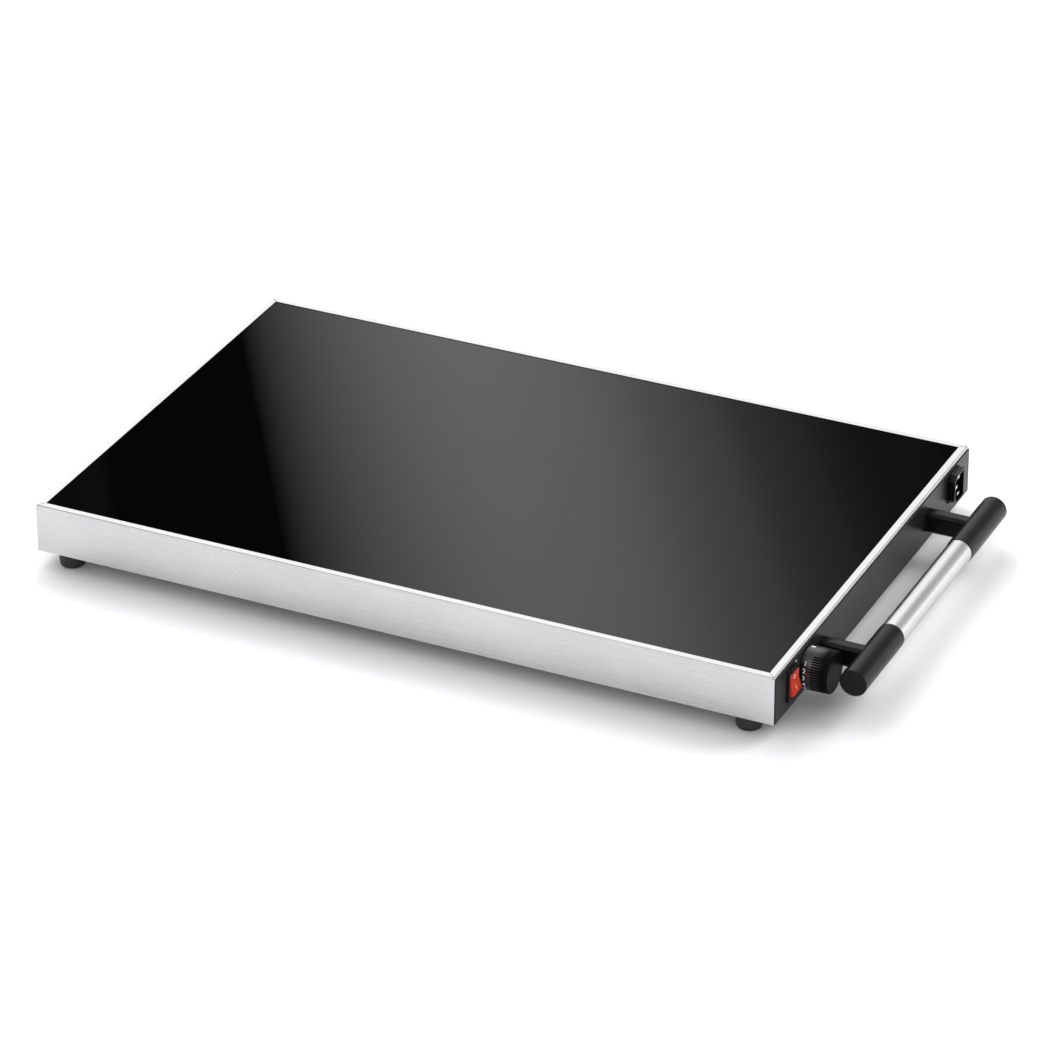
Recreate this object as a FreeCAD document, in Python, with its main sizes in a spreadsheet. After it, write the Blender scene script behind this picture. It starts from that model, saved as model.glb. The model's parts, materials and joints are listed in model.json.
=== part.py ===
import FreeCAD, Part
import math
import os
import re
import Sketcher

# An electric food warmer tray: a low steel casing with a black glass top, an end panel with a rocker
# switch, a thermostat knob, a bar handle and a mains inlet, and all that it holds inside.
# Millimetres. +X is the handle end, +Y the rear, +Z up, and z = 0 is the surface it stands on.
# Pieces are drawn about the middle of the casing and then moved by mid_x, so that x = 0 ends up
# at the middle of the whole object with its handle.

doc = FreeCAD.newDocument("food_warmer_tray")
dims = doc.addObject("Spreadsheet::Sheet", "Dims")
places = doc.addObject("Spreadsheet::Sheet", "Places")

V = FreeCAD.Vector

# The driving dimensions.
DIMENSIONS = [
    ("tray_len", 600, "casing, left to right"),
    ("tray_wid", 380, "casing, front to rear"),
    ("wall_high", 38.7, "casing wall, lower edge to top of rim"),
    ("wall_lift", 12.3, "lower edge of the wall above the table"),
    ("sheet_t", 0.6, "casing sheet"),
    ("rim_wide", 6.0, "rim over the glass"),
    ("bend_rad", 1.5, "outer bend between wall and rim"),
    ("corner_rad", 1.2, "upright corner of the casing"),
    ("slit_wide", 0.4, "mitre slit in each rim corner"),
    ("return_wide", 20, "flange under the casing"),
    ("base_t", 1.0, "base plate"),
    ("base_inset", 2.5, "base plate in from the wall"),
    ("base_corner", 3.0, "base plate corner radius"),
    ("base_screw_in", 10, "base screws in from the wall"),
    ("base_screw_end", 68, "outermost base screws from the casing's ends"),
    ("panel_t", 1.0, "end panel"),
    ("panel_side", 1.3, "end panel in from the upright corners"),
    ("panel_top", 2.3, "end panel below the rim"),
    ("panel_low", 0.3, "end panel above the lower edge"),
    ("glass_t", 4.0, "glass plate"),
    ("glass_edge", 1.5, "glass to wall"),
    ("glass_corner", 4.0, "glass corner radius"),
    ("seal_t", 0.8, "seal under the glass"),
    ("seal_wide", 10, "width of the seal"),
    ("frame_t", 0.8, "inner frame sheet"),
    ("frame_gap", 0.2, "inner frame to wall"),
    ("ledge_wide", 14, "ledge that carries the glass"),
    ("leg_corner", 10.4, "inner frame's corners beside the gap behind the end panel"),
    ("spreader_t", 1.5, "aluminium heat spreader"),
    ("spreader_gap", 2.0, "spreader to ledge"),
    ("spreader_corner", 8.0, "spreader corner radius"),
    ("bay_deep", 56, "control bay behind the right wall"),
    ("bay_gap", 5.4, "spreader short of the bay"),
    ("element_dia", 6.4, "heating element"),
    ("element_side", 48.2, "outermost runs in from the spreader's sides"),
    ("bend_in_left", 40, "element bends in from the spreader's left edge"),
    ("bend_in_right", 34, "element bends in from the spreader's right edge"),
    ("element_out", 15, "element ends past the heat shield"),
    ("tip_dia", 3.0, "element terminal pin"),
    ("tip_long", 4.0, "element terminal pin"),
    ("snug", 0.05, "running or laying clearance"),
    ("clamp_t", 1.5, "clamp bar"),
    ("clamp_wide", 12, "clamp bar"),
    ("clamp_end", 100.6, "outer clamp bars in from the spreader's ends"),
    ("clamp_shift", 17.4, "clamp bars to the left of the spreader's middle"),
    ("clamp_gap", 1.9, "clamp bar's ends to the inner frame"),
    ("clamp_foot", 9.5, "clamp bar's screwed ends"),
    ("mat_t", 10, "insulation mat"),
    ("mat_gap", 0.4, "insulation mat to heat shield"),
    ("shield_t", 0.6, "heat shield"),
    ("shield_gap", 0.1, "heat shield to inner frame"),
    ("shield_rim", 12, "heat shield's turned-up rim"),
    ("foot_dia", 20, "foot at the top"),
    ("foot_low_dia", 18.4, "foot at the table"),
    ("foot_round", 2.6, "lower edge of the foot"),
    ("foot_end_in", 23.1, "foot in from the end"),
    ("foot_side_in", 11.6, "foot in from the side"),
    ("foot_seat", 6.0, "screw seat in the foot above the table"),
    ("screw_dia", 4.0, "foot, base and earth screws"),
    ("screw_head", 8.0, "head of those screws"),
    ("screw_head_high", 2.2, "head of those screws"),
    ("nut_wide", 7.0, "nut across its flats"),
    ("nut_high", 3.2, "nut"),
    ("hole_play", 0.2, "screw holes over the screw, on the radius"),
    ("knob_front", 58.2, "knob axis from the front"),
    ("knob_z", 29.8, "knob axis above the table"),
    ("knob_dia", 32.6, "knob skirt"),
    ("knob_face_dia", 32.0, "knob at its face"),
    ("knob_long", 21.1, "knob"),
    ("knob_gap", 0.5, "knob to end panel"),
    ("knob_bevel", 0.8, "edge of the knob's face"),
    ("knob_wall", 2.2, "knob skirt wall"),
    ("knob_hollow", 8.0, "depth of the hollow behind the knob"),
    ("knob_hub", 6.5, "radius of the knob's hub"),
    ("rib_from", 8.4, "grooves start behind the face of the panel"),
    ("rib_size", 1.3, "diameter of the groove cutter"),
    ("rib_depth", 0.5, "depth of a groove"),
    ("rib_start", 30, "first groove, degrees from the top towards the front"),
    ("rib_whole", 54, "grooves on a full circle"),
    ("rib_count", 43, "grooves present"),
    ("neck_dia", 10, "thermostat's threaded neck"),
    ("neck_out", 5.0, "neck in front of the end panel"),
    ("neck_nut", 14, "neck nut across its flats"),
    ("neck_nut_high", 3.0, "neck nut"),
    ("spindle_dia", 6.0, "thermostat spindle"),
    ("spindle_long", 16.2, "spindle in front of the knob's rear rim"),
    ("spindle_flat", 1.5, "depth of the flat on the spindle"),
    ("tail_dia", 5.0, "spindle's thinner end"),
    ("stat_wide", 30, "thermostat body"),
    ("stat_high", 26, "thermostat body"),
    ("stat_deep", 26, "thermostat body"),
    ("stat_bore", 14, "chamber in the thermostat body"),
    ("stat_back", 1.5, "rear wall of the chamber"),
    ("stat_front", 9, "front wall of the chamber"),
    ("cam_dia", 11, "thermostat cam"),
    ("cam_long", 5, "thermostat cam"),
    ("cam_throw", 0.9, "cam's middle off the spindle's axis"),
    ("cam_in", 5, "cam from the chamber's front"),
    ("bulb_dia", 4.0, "sensing bulb"),
    ("bulb_long", 70, "sensing bulb"),
    ("bulb_end", 18, "sensing bulb short of the spreader's right edge"),
    ("capillary_dia", 1.2, "capillary tube"),
    ("clip_t", 0.8, "bulb clip"),
    ("clip_long", 10, "bulb clip"),
    ("switch_front", 30.6, "switch middle from the front"),
    ("switch_z", 32.3, "switch middle above the table"),
    ("bezel_wide", 19.6, "switch bezel"),
    ("bezel_high", 25.5, "switch bezel"),
    ("bezel_t", 1.9, "switch bezel"),
    ("bezel_edge", 0.5, "edge of the bezel"),
    ("switch_wide", 17.4, "switch body"),
    ("switch_high", 21.4, "switch body"),
    ("switch_deep", 20, "switch body behind the end panel's face"),
    ("well_wide", 15.4, "well of the rocker"),
    ("well_high", 17.9, "well of the rocker"),
    ("well_deep", 8.0, "well of the rocker behind the end panel's face"),
    ("pit_wide", 8.0, "pit of the see-saw contact"),
    ("pit_high", 15.0, "pit of the see-saw contact"),
    ("pit_deep", 12.4, "pit of the see-saw contact behind the end panel's face"),
    ("rocker_wide", 15.0, "rocker"),
    ("rocker_half", 8.2, "half height of the rocker's face"),
    ("rocker_rise", 3.9, "rocker's ends in front of its pivot"),
    ("rocker_dip", 1.0, "dip in the middle of the rocker"),
    ("rocker_skirt", 5.0, "rocker's skirt behind its pivot"),
    ("rocker_tilt", 10, "rocker's lean at rest, degrees"),
    ("pivot_in", 0.7, "rocker's pivot behind the end panel's face"),
    ("trunnion_dia", 3.0, "rocker's pivot pins"),
    ("trunnion_long", 0.8, "rocker's pivot pins"),
    ("nib_dia", 2.4, "rocker's nib"),
    ("nib_reach", 9.4, "rocker's nib behind its pivot"),
    ("contact_long", 12, "see-saw contact"),
    ("contact_wide", 5, "see-saw contact"),
    ("contact_t", 0.6, "see-saw contact"),
    ("contact_gap", 0.3, "see-saw contact to the nib"),
    ("contact_tilt", 3, "see-saw contact's lean at rest, degrees"),
    ("lamp_dia", 3.0, "indicator lamp"),
    ("lamp_long", 8.0, "indicator lamp"),
    ("tab_wide", 4.8, "push-on tabs"),
    ("tab_t", 0.8, "push-on tabs"),
    ("tab_long", 6.0, "push-on tabs"),
    ("inlet_rear", 36.1, "inlet middle from the rear"),
    ("inlet_z", 34.6, "inlet middle above the table"),
    ("inlet_wide", 19.0, "inlet shroud"),
    ("inlet_high", 23.6, "inlet shroud"),
    ("inlet_out", 6.0, "inlet shroud in front of the end panel"),
    ("inlet_lip", 1.6, "lip at the shroud's mouth"),
    ("inlet_flange", 2.0, "inlet flange thickness"),
    ("inlet_border", 0.6, "flange and lip past the shroud"),
    ("inlet_chamfer", 4.4, "cut corners of the shroud"),
    ("inlet_body_wide", 18.4, "inlet body behind the end panel"),
    ("inlet_body_high", 23.0, "inlet body behind the end panel"),
    ("inlet_deep", 21, "inlet body behind the end panel's face"),
    ("socket_wide", 16.8, "socket"),
    ("socket_high", 21.4, "socket"),
    ("socket_deep", 14.6, "socket from its mouth"),
    ("socket_chamfer", 3.6, "cut corners of the socket"),
    ("pin_pitch", 14, "live and neutral pins"),
    ("pin_offset", 2.0, "pins off the middle of the socket"),
    ("pin_wide", 4.0, "inlet pin"),
    ("pin_t", 2.0, "inlet pin"),
    ("pin_back", 1.7, "pin tips behind the socket's mouth"),
    ("retainer_t", 1.2, "inlet retainer"),
    ("retainer_border", 3.0, "inlet retainer around the body"),
    ("notch_gap", 0.6, "ledge and seal clear of the inlet body"),
    ("handle_out", 40, "handle axis from the casing's end"),
    ("handle_z", 30, "handle axis above the table"),
    ("handle_end_in", 49, "handle's ends in from the casing's sides"),
    ("sleeve_long", 73, "handle's sleeve"),
    ("tube_dia", 20.2, "handle's steel tube"),
    ("tube_t", 1.2, "wall of that tube"),
    ("sleeve_dia", 21, "handle's sleeves"),
    ("sleeve_edge", 0.9, "edge of a sleeve's end"),
    ("spigot_long", 12, "sleeve's spigot inside the tube"),
    ("post_in", 31, "handle post in from the handle's end"),
    ("post_wide", 12.3, "handle post"),
    ("post_high", 16.7, "handle post"),
    ("post_edge", 3.4, "rounded edges of a post"),
    ("rod_dia", 6.0, "rod through the handle"),
    ("rod_nut_wide", 10, "nut on that rod"),
    ("rod_nut_high", 5, "nut on that rod"),
    ("cap_dia", 14, "handle's end caps"),
    ("cap_t", 2.5, "handle's end caps"),
    ("rod_pit", 10, "pit for the nut and cap"),
    ("handle_screw_dia", 5.0, "handle screw"),
    ("handle_screw_grip", 12, "handle screw in the post"),
    ("handle_screw_head", 9.0, "handle screw head"),
    ("handle_screw_high", 3.0, "handle screw head"),
    ("backing_t", 1.5, "backing plate behind a post"),
    ("backing_wide", 23, "backing plate"),
    ("backing_high", 20, "backing plate"),
    ("lead_dia", 2.4, "insulated leads"),
    ("earth_x", 16, "earth stud from the wall"),
    ("earth_from_inlet", 31.9, "earth stud in front of the inlet"),
    ("earth_high", 12, "earth stud"),
    ("ring_t", 1.0, "ring tag under the earth nut"),
]

# Places and sizes that follow from them.
DERIVED = [
    ("mid_x", "-(handle_out + sleeve_dia / 2) / 2"),
    ("rim_z", "wall_lift + wall_high"),
    ("floor_z", "wall_lift + sheet_t"),
    ("base_z", "wall_lift - base_t"),
    ("glass_top", "rim_z - sheet_t"),
    ("glass_low", "glass_top - glass_t"),
    ("ledge_top", "glass_low - seal_t"),
    ("ledge_low", "ledge_top - frame_t"),
    ("spread_low", "glass_low - spreader_t"),
    ("element_z", "spread_low - element_dia / 2 - snug"),
    ("clamp_top", "element_z - element_dia / 2 - snug"),
    ("mat_top", "clamp_top - clamp_t"),
    ("mat_low", "mat_top - mat_t"),
    ("shield_low", "mat_low - shield_t"),
    ("end_x", "tray_len / 2"),
    ("wall_x", "end_x - sheet_t"),
    ("face_x", "end_x + panel_t"),
    ("bay_x", "wall_x - bay_deep"),
    ("frame_x", "wall_x - frame_gap"),
    ("frame_y", "tray_wid / 2 - sheet_t - frame_gap"),
    ("leg_x", "frame_x - frame_t"),
    ("leg_y", "frame_y - frame_t"),
    ("glass_len", "2 * (wall_x - glass_edge)"),
    ("glass_wid", "tray_wid - 2 * (sheet_t + glass_edge)"),
    ("spread_left", "-(frame_x - ledge_wide - spreader_gap)"),
    ("spread_right", "bay_x - bay_gap"),
    ("spread_y", "frame_y - ledge_wide - spreader_gap"),
    ("pass_pitch", "2 * (spread_y - element_side) / 5"),
    ("clamp_step", "(spread_right - spread_left - 2 * clamp_end) / 2"),
    ("clamp_mid_x", "(spread_left + spread_right) / 2 - clamp_shift"),
    ("clamp_leg_y", "leg_y - clamp_gap - clamp_foot"),
    ("leg_short", "leg_y - leg_corner"),
    ("base_screw_step", "(tray_len - 2 * base_screw_end) / 4"),
    ("foot_x", "end_x - foot_end_in"),
    ("foot_y", "tray_wid / 2 - foot_side_in"),
    ("base_screw_x", "end_x - base_screw_in"),
    ("base_screw_y", "tray_wid / 2 - base_screw_in"),
    ("knob_y", "-tray_wid / 2 + knob_front"),
    ("knob_x", "face_x + knob_gap"),
    ("stat_x", "wall_x - stat_deep"),
    ("cam_x", "wall_x - stat_front - cam_in - cam_long"),
    ("bulb_y", "-2 * pass_pitch"),
    ("bulb_z", "spread_low - bulb_dia / 2 - snug"),
    ("bulb_x", "spread_right - bulb_end - bulb_long"),
    ("switch_y", "-tray_wid / 2 + switch_front"),
    ("pivot_x", "face_x - pivot_in"),
    ("contact_x", "pivot_x - nib_reach - contact_gap - contact_t / 2"),
    ("inlet_y", "tray_wid / 2 - inlet_rear"),
    ("earth_y", "inlet_y - earth_from_inlet"),
    ("handle_x", "end_x + handle_out"),
    ("handle_half", "tray_wid / 2 - handle_end_in"),
    ("tube_half", "handle_half - sleeve_long"),
    ("post_from", "handle_half - post_in - post_wide"),
    ("screw_mid_y", "post_from + post_wide / 2"),
]

OWNER = {name: "Dims." for name, value, meaning in DIMENSIONS}
OWNER.update({name: "Places." for name, formula in DERIVED})


def ex(text):
    """Spell out an expression: each known name gets the name of its sheet in front."""
    return re.sub(r"[A-Za-z_]\w*", lambda word: OWNER.get(word.group(0), "") + word.group(0), str(text))


def fill_sheets():
    """Write the driving dimensions and, on a sheet of their own, the places worked out from them."""
    for row, (name, value, meaning) in enumerate(DIMENSIONS, 1):
        dims.set("A%d" % row, name)
        dims.set("B%d" % row, str(value))
        dims.set("C%d" % row, meaning)
        dims.setAlias("B%d" % row, name)
    for row, (name, formula) in enumerate(DERIVED, 1):
        places.set("A%d" % row, name)
        places.set("B%d" % row, "=" + ex(formula))
        places.setAlias("B%d" % row, name)
    doc.recompute()


def size(name):
    """Read one number from the sheets."""
    sheet = dims if OWNER[name] == "Dims." else places
    return float(sheet.get(name))


PIECES = []
CORNER_OF = {}


def keep(piece, name):
    """Name a finished sub-part and move it by mid_x into the object's frame."""
    piece.Label = name
    start = CORNER_OF.get(piece.Name, "0")
    piece.setExpression("Placement.Base.x", ex("%s + mid_x" % start))
    PIECES.append(piece)
    return piece


# Plain solids and their joins.

TURN = {
    "x": FreeCAD.Rotation(V(0, 1, 0), 90),
    "y": FreeCAD.Rotation(V(1, 0, 0), -90),
    "z": FreeCAD.Rotation(),
}


def settle(piece, corner, along="z"):
    """Put a plain solid at a corner or centre given as three expressions."""
    piece.Placement = FreeCAD.Placement(V(), TURN[along])
    for axis, text in zip("xyz", corner):
        piece.setExpression("Placement.Base." + axis, ex(text))
    CORNER_OF[piece.Name] = "(%s)" % corner[0]
    return piece


def box(name, corner, sides):
    """A box from its lowest corner and its sides along X, Y and Z."""
    piece = doc.addObject("Part::Box", name)
    for side, text in zip(("Length", "Width", "Height"), sides):
        piece.setExpression(side, ex(text))
    return settle(piece, corner)


def rod(name, foot, radius, length, along="z"):
    """A round rod from the middle of its first end."""
    piece = doc.addObject("Part::Cylinder", name)
    piece.setExpression("Radius", ex(radius))
    piece.setExpression("Height", ex(length))
    return settle(piece, foot, along)


def hexagon(name, foot, flats, length, along="z"):
    """A six-sided bar from the middle of its first end and its width across the flats."""
    piece = doc.addObject("Part::Prism", name)
    piece.Polygon = 6
    piece.setExpression("Circumradius", ex("(%s) / 2 / cos(30)" % flats))
    piece.setExpression("Height", ex(length))
    return settle(piece, foot, along)


def join(name, solids):
    """Fuse solids that overlap or touch into one."""
    piece = doc.addObject("Part::MultiFuse", name)
    piece.Shapes = solids
    piece.Refine = True
    return piece


def cut(name, base, tool):
    """Take a tool away from a base."""
    piece = doc.addObject("Part::Cut", name)
    piece.Base = base
    piece.Tool = tool
    return piece


def group(name, solids):
    """Keep like pieces together as separate solids."""
    piece = doc.addObject("Part::Compound", name)
    piece.Links = solids
    return piece


def nut(name, foot, flats, length, bore, along="z"):
    """A plain nut with its bore."""
    blank = hexagon(name + "_blank", foot, flats, length, along)
    hole = rod(name + "_bore", foot, bore, length, along)
    return cut(name, blank, hole)


def screw_up(name, x, y, seat_z, length):
    """A pan head screw that points up, its head under seat_z."""
    head = rod(name + "_head", (x, y, "%s - screw_head_high" % seat_z), "screw_head / 2",
            "screw_head_high")
    shank = rod(name + "_shank", (x, y, seat_z), "screw_dia / 2", length)
    return join(name, [head, shank])


# Bodies of sketched features.


def body(name):
    return doc.addObject("PartDesign::Body", name)


def sketch(owner, plane, at=("0", "0", "0"), turn=None):
    """A sketch on one of the body's origin planes, moved along the sketch's own axes."""
    drawing = owner.newObject("Sketcher::SketchObject", owner.Name + "_outline")
    base = [item for item in owner.Origin.OriginFeatures if item.Role == plane][0]
    drawing.AttachmentSupport = [(base, "")]
    drawing.MapMode = "FlatFace"
    if turn is not None:
        drawing.AttachmentOffset = FreeCAD.Placement(V(), FreeCAD.Rotation(V(0, 0, 1), 0))
        drawing.setExpression("AttachmentOffset.Rotation.Angle", ex(turn))
    for axis, text in zip("xyz", at):
        drawing.setExpression("AttachmentOffset.Base." + axis, ex(text))
    return drawing


def bind(drawing, constraint, text):
    """Add a size to a sketch and tie it to an expression."""
    index = drawing.addConstraint(constraint)
    drawing.setExpression("Constraints[%d]" % index, ex(text))


def draw_rectangle(drawing, wide, high):
    """A rectangle about the sketch's origin."""
    first = drawing.GeometryCount
    corners = [V(-9, -7, 0), V(9, -7, 0), V(9, 7, 0), V(-9, 7, 0)]
    for turn in range(4):
        drawing.addGeometry(Part.LineSegment(corners[turn], corners[(turn + 1) % 4]))
    for turn in range(4):
        drawing.addConstraint(Sketcher.Constraint("Coincident", first + turn, 2,
                first + (turn + 1) % 4, 1))
    for turn, kind in enumerate(("Horizontal", "Vertical", "Horizontal", "Vertical")):
        drawing.addConstraint(Sketcher.Constraint(kind, first + turn))
    drawing.addConstraint(Sketcher.Constraint("Symmetric", first, 1, first + 1, 2, -1, 1))
    bind(drawing, Sketcher.Constraint("DistanceX", first, 1, first, 2, 18.0), wide)
    bind(drawing, Sketcher.Constraint("DistanceY", first + 1, 1, first + 1, 2, 14.0), high)


def draw_circles(drawing, diameter, centres):
    """Equal circles at centres given as pairs of expressions."""
    for x, y in centres:
        index = drawing.addGeometry(Part.Circle(V(1, 1, 0), V(0, 0, 1), 2))
        bind(drawing, Sketcher.Constraint("DistanceX", -1, 1, index, 3, 1.0), x)
        bind(drawing, Sketcher.Constraint("DistanceY", -1, 1, index, 3, 1.0), y)
        bind(drawing, Sketcher.Constraint("Diameter", index, 4.0), diameter)


def draw_outline(drawing, points):
    """A closed outline of straight sides through points given as pairs of expressions."""
    count = len(points)
    for turn in range(count):
        start, end = math.tau * turn / count, math.tau * (turn + 1) / count
        first, last = V(math.cos(start), math.sin(start), 0), V(math.cos(end), math.sin(end), 0)
        drawing.addGeometry(Part.LineSegment(first * 10, last * 10))
    for turn in range(count):
        drawing.addConstraint(Sketcher.Constraint("Coincident", turn, 2, (turn + 1) % count, 1))
    for turn, (x, y) in enumerate(points):
        bind(drawing, Sketcher.Constraint("DistanceX", -1, 1, turn, 1, 1.0), x)
        bind(drawing, Sketcher.Constraint("DistanceY", -1, 1, turn, 1, 1.0), y)


def pad(owner, drawing, length, middle=False):
    """Add material in front of a sketch."""
    feature = owner.newObject("PartDesign::Pad", owner.Name + "_pad")
    feature.Profile = drawing
    feature.setExpression("Length", ex(length))
    feature.Midplane = middle
    return feature


def pocket(owner, drawing, length):
    """Take material away in front of a sketch."""
    feature = owner.newObject("PartDesign::Pocket", owner.Name + "_pocket")
    feature.Profile = drawing
    feature.setExpression("Length", ex(length))
    feature.Reversed = True
    return feature


def revolve(owner, drawing, axis="H_Axis"):
    """Turn a sketch all the way about one of its own axes."""
    feature = owner.newObject("PartDesign::Revolution", owner.Name + "_turned")
    feature.Profile = drawing
    feature.ReferenceAxis = (drawing, [axis])
    feature.Angle = 360
    return feature


def slab(owner, at, wide, high, length, plane="XY_Plane"):
    """Pad a rectangle."""
    drawing = sketch(owner, plane, at)
    draw_rectangle(drawing, wide, high)
    return pad(owner, drawing, length)


def window(owner, at, wide, high, length, plane="XY_Plane", turn=None):
    """Pocket a rectangle."""
    drawing = sketch(owner, plane, at, turn)
    draw_rectangle(drawing, wide, high)
    return pocket(owner, drawing, length)


def bores(owner, at, diameter, centres, length, plane="XY_Plane"):
    """Pocket equal round holes."""
    drawing = sketch(owner, plane, at)
    draw_circles(drawing, diameter, centres)
    return pocket(owner, drawing, length)


def pick_edges(owner, test):
    """Names of the body's edges whose middle and direction pass a test."""
    doc.recompute()
    chosen = []
    for index, edge in enumerate(owner.Tip.Shape.Edges, 1):
        if edge.Degenerated:
            continue
        first, last = edge.FirstParameter, edge.LastParameter
        middle = edge.valueAt((first + last) / 2)
        along = edge.tangentAt((first + last) / 2)
        if test(middle, along):
            chosen.append("Edge%d" % index)
    return chosen


def soften(owner, kind, value, test):
    """Fillet or chamfer the edges that pass a test."""
    base = owner.Tip
    names = pick_edges(owner, test)
    feature = owner.newObject("PartDesign::" + kind, owner.Name + "_" + kind.lower())
    feature.Base = (base, names)
    feature.setExpression("Radius" if kind == "Fillet" else "Size", ex(value))
    return feature


def upright(middle, along):
    return abs(along.z) > 0.99


def near(value, target, slack=0.02):
    return abs(value - target) < slack


# Leads and other tubes.


def number(text):
    """Work out a sum of sheet names and numbers, such as "bay_x + 4"."""
    total, sign = 0.0, 1.0
    for word in str(text).split():
        if word in ("+", "-"):
            sign = 1.0 if word == "+" else -1.0
        else:
            total += sign * (size(word) if word in OWNER else float(word))
            sign = 1.0
    return total


def point(x, y, z):
    return V(number(x), number(y), number(z))


def tube(name, points, diameter, tightest=2.0):
    """A round tube along straight runs joined by tangent arcs."""
    edges = []
    start = points[0]
    for before, here, after in zip(points, points[1:], points[2:]):
        inward = (before - here).normalize()
        outward = (after - here).normalize()
        half = (math.pi - inward.getAngle(outward)) / 2
        room = 0.45 * min(before.distanceToPoint(here), after.distanceToPoint(here))
        radius = room / math.tan(half)
        if radius < tightest * size(diameter):
            print(name, "bends at", round(radius, 1))
        first = here + inward * room
        last = here + outward * room
        centre = here + (inward + outward).normalize() * (radius / math.cos(half))
        middle = centre + (here - centre).normalize() * radius
        edges.append(Part.LineSegment(start, first).toShape())
        edges.append(Part.Arc(first, middle, last).toShape())
        start = last
    edges.append(Part.LineSegment(start, points[-1]).toShape())
    path = Part.Wire(edges)
    heading = (points[1] - points[0]).normalize()
    ring = Part.Wire([Part.makeCircle(size(diameter) / 2, points[0], heading)])
    piece = doc.addObject("Part::Feature", name)
    piece.Shape = path.makePipeShell([ring], True, False)
    return piece


# Casing and base.

FEET = [(side, end) for side in ("front", "rear") for end in ("left", "right")]
SIGN = {"front": "-", "rear": "", "left": "-", "right": ""}


def foot_centres():
    return [(SIGN[end] + "foot_x", SIGN[side] + "foot_y") for side, end in FEET]


def base_screw_centres():
    """Five along each long side and one in the middle of each end."""
    along = ["%d * base_screw_step" % step for step in range(-2, 3)]
    centres = [(x, sign + "base_screw_y") for x in along for sign in ("-", "")]
    return centres + [("-base_screw_x", "0"), ("base_screw_x", "0")]


def screw_rows():
    """The screw of each handle post, as places across the end panel."""
    return ["-screw_mid_y", "screw_mid_y"]


def end_openings(owner, start, depth):
    """The openings that the wall and the end panel share: switch, spindle neck, inlet and handle screws."""
    window(owner, ("switch_y", "switch_z", start), "switch_wide", "switch_high", depth, "YZ_Plane")
    bores(owner, ("0", "0", start), "neck_dia + 2 * hole_play", [("knob_y", "knob_z")], depth, "YZ_Plane")
    window(owner, ("inlet_y", "inlet_z", start), "inlet_body_wide", "inlet_body_high", depth, "YZ_Plane")
    centres = [(row, "handle_z") for row in screw_rows()]
    bores(owner, ("0", "0", start), "handle_screw_dia + 2 * hole_play", centres, depth, "YZ_Plane")


def make_casing():
    """Walls, mitred rim and lower flange folded from one sheet."""
    part = body("casing")
    slab(part, ("0", "0", "wall_lift"), "tray_len", "tray_wid", "wall_high")
    soften(part, "Fillet", "corner_rad", upright)
    top = size("rim_z")
    soften(part, "Fillet", "bend_rad", lambda middle, along: near(middle.z, top))
    inside = ("tray_len - 2 * sheet_t", "tray_wid - 2 * sheet_t")
    window(part, ("0", "0", "floor_z"), inside[0], inside[1], "wall_high - 2 * sheet_t")
    under = size("glass_top")
    soften(part, "Fillet", "bend_rad - sheet_t", lambda middle, along: near(middle.z, under))
    window(part, ("0", "0", "glass_top - 1"), "tray_len - 2 * rim_wide", "tray_wid - 2 * rim_wide",
            "sheet_t + 2")
    return_len = "tray_len - 2 * return_wide"
    window(part, ("0", "0", "wall_lift - 1"), return_len, "tray_wid - 2 * return_wide", "sheet_t + 2")
    for sign_x, sign_y, lean in (("", "", "45"), ("-", "-", "45"), ("-", "", "135"), ("", "-", "135")):
        at = ("%s(end_x - rim_wide / 2)" % sign_x, "%s(tray_wid / 2 - rim_wide / 2)" % sign_y,
                "rim_z - bend_rad")
        window(part, at, "1.5 * rim_wide", "slit_wide", "bend_rad + 1", turn=lean)
    end_openings(part, "end_x - sheet_t - 1", "sheet_t + 2")
    hole = "screw_dia + 2 * hole_play"
    bores(part, ("0", "0", "wall_lift - 1"), hole, foot_centres() + base_screw_centres(), "sheet_t + 2")
    return keep(part, "casing")


def make_base_plate():
    part = body("base_plate")
    slab(part, ("0", "0", "base_z"), "tray_len - 2 * base_inset", "tray_wid - 2 * base_inset", "base_t")
    soften(part, "Fillet", "base_corner", upright)
    hole = "screw_dia + 2 * hole_play"
    bores(part, ("0", "0", "base_z - 1"), hole, foot_centres() + base_screw_centres(), "base_t + 2")
    return keep(part, "base_plate")


def make_base_screws():
    screws = []
    for index, (x, y) in enumerate(base_screw_centres()):
        screws.append(screw_up("base_screw_%d" % index, x, y, "base_z", "base_t + sheet_t + 4"))
    return keep(group("base_screws", screws), "base_screws")


def make_end_panel():
    """The dark plate over the right wall."""
    part = body("end_panel")
    high = "wall_high - panel_top - panel_low"
    at = ("0", "wall_lift + panel_low + (%s) / 2" % high, "end_x")
    slab(part, at, "tray_wid - 2 * panel_side", high, "panel_t", "YZ_Plane")
    end_openings(part, "end_x - 1", "panel_t + 2")
    return keep(part, "end_panel")


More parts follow.
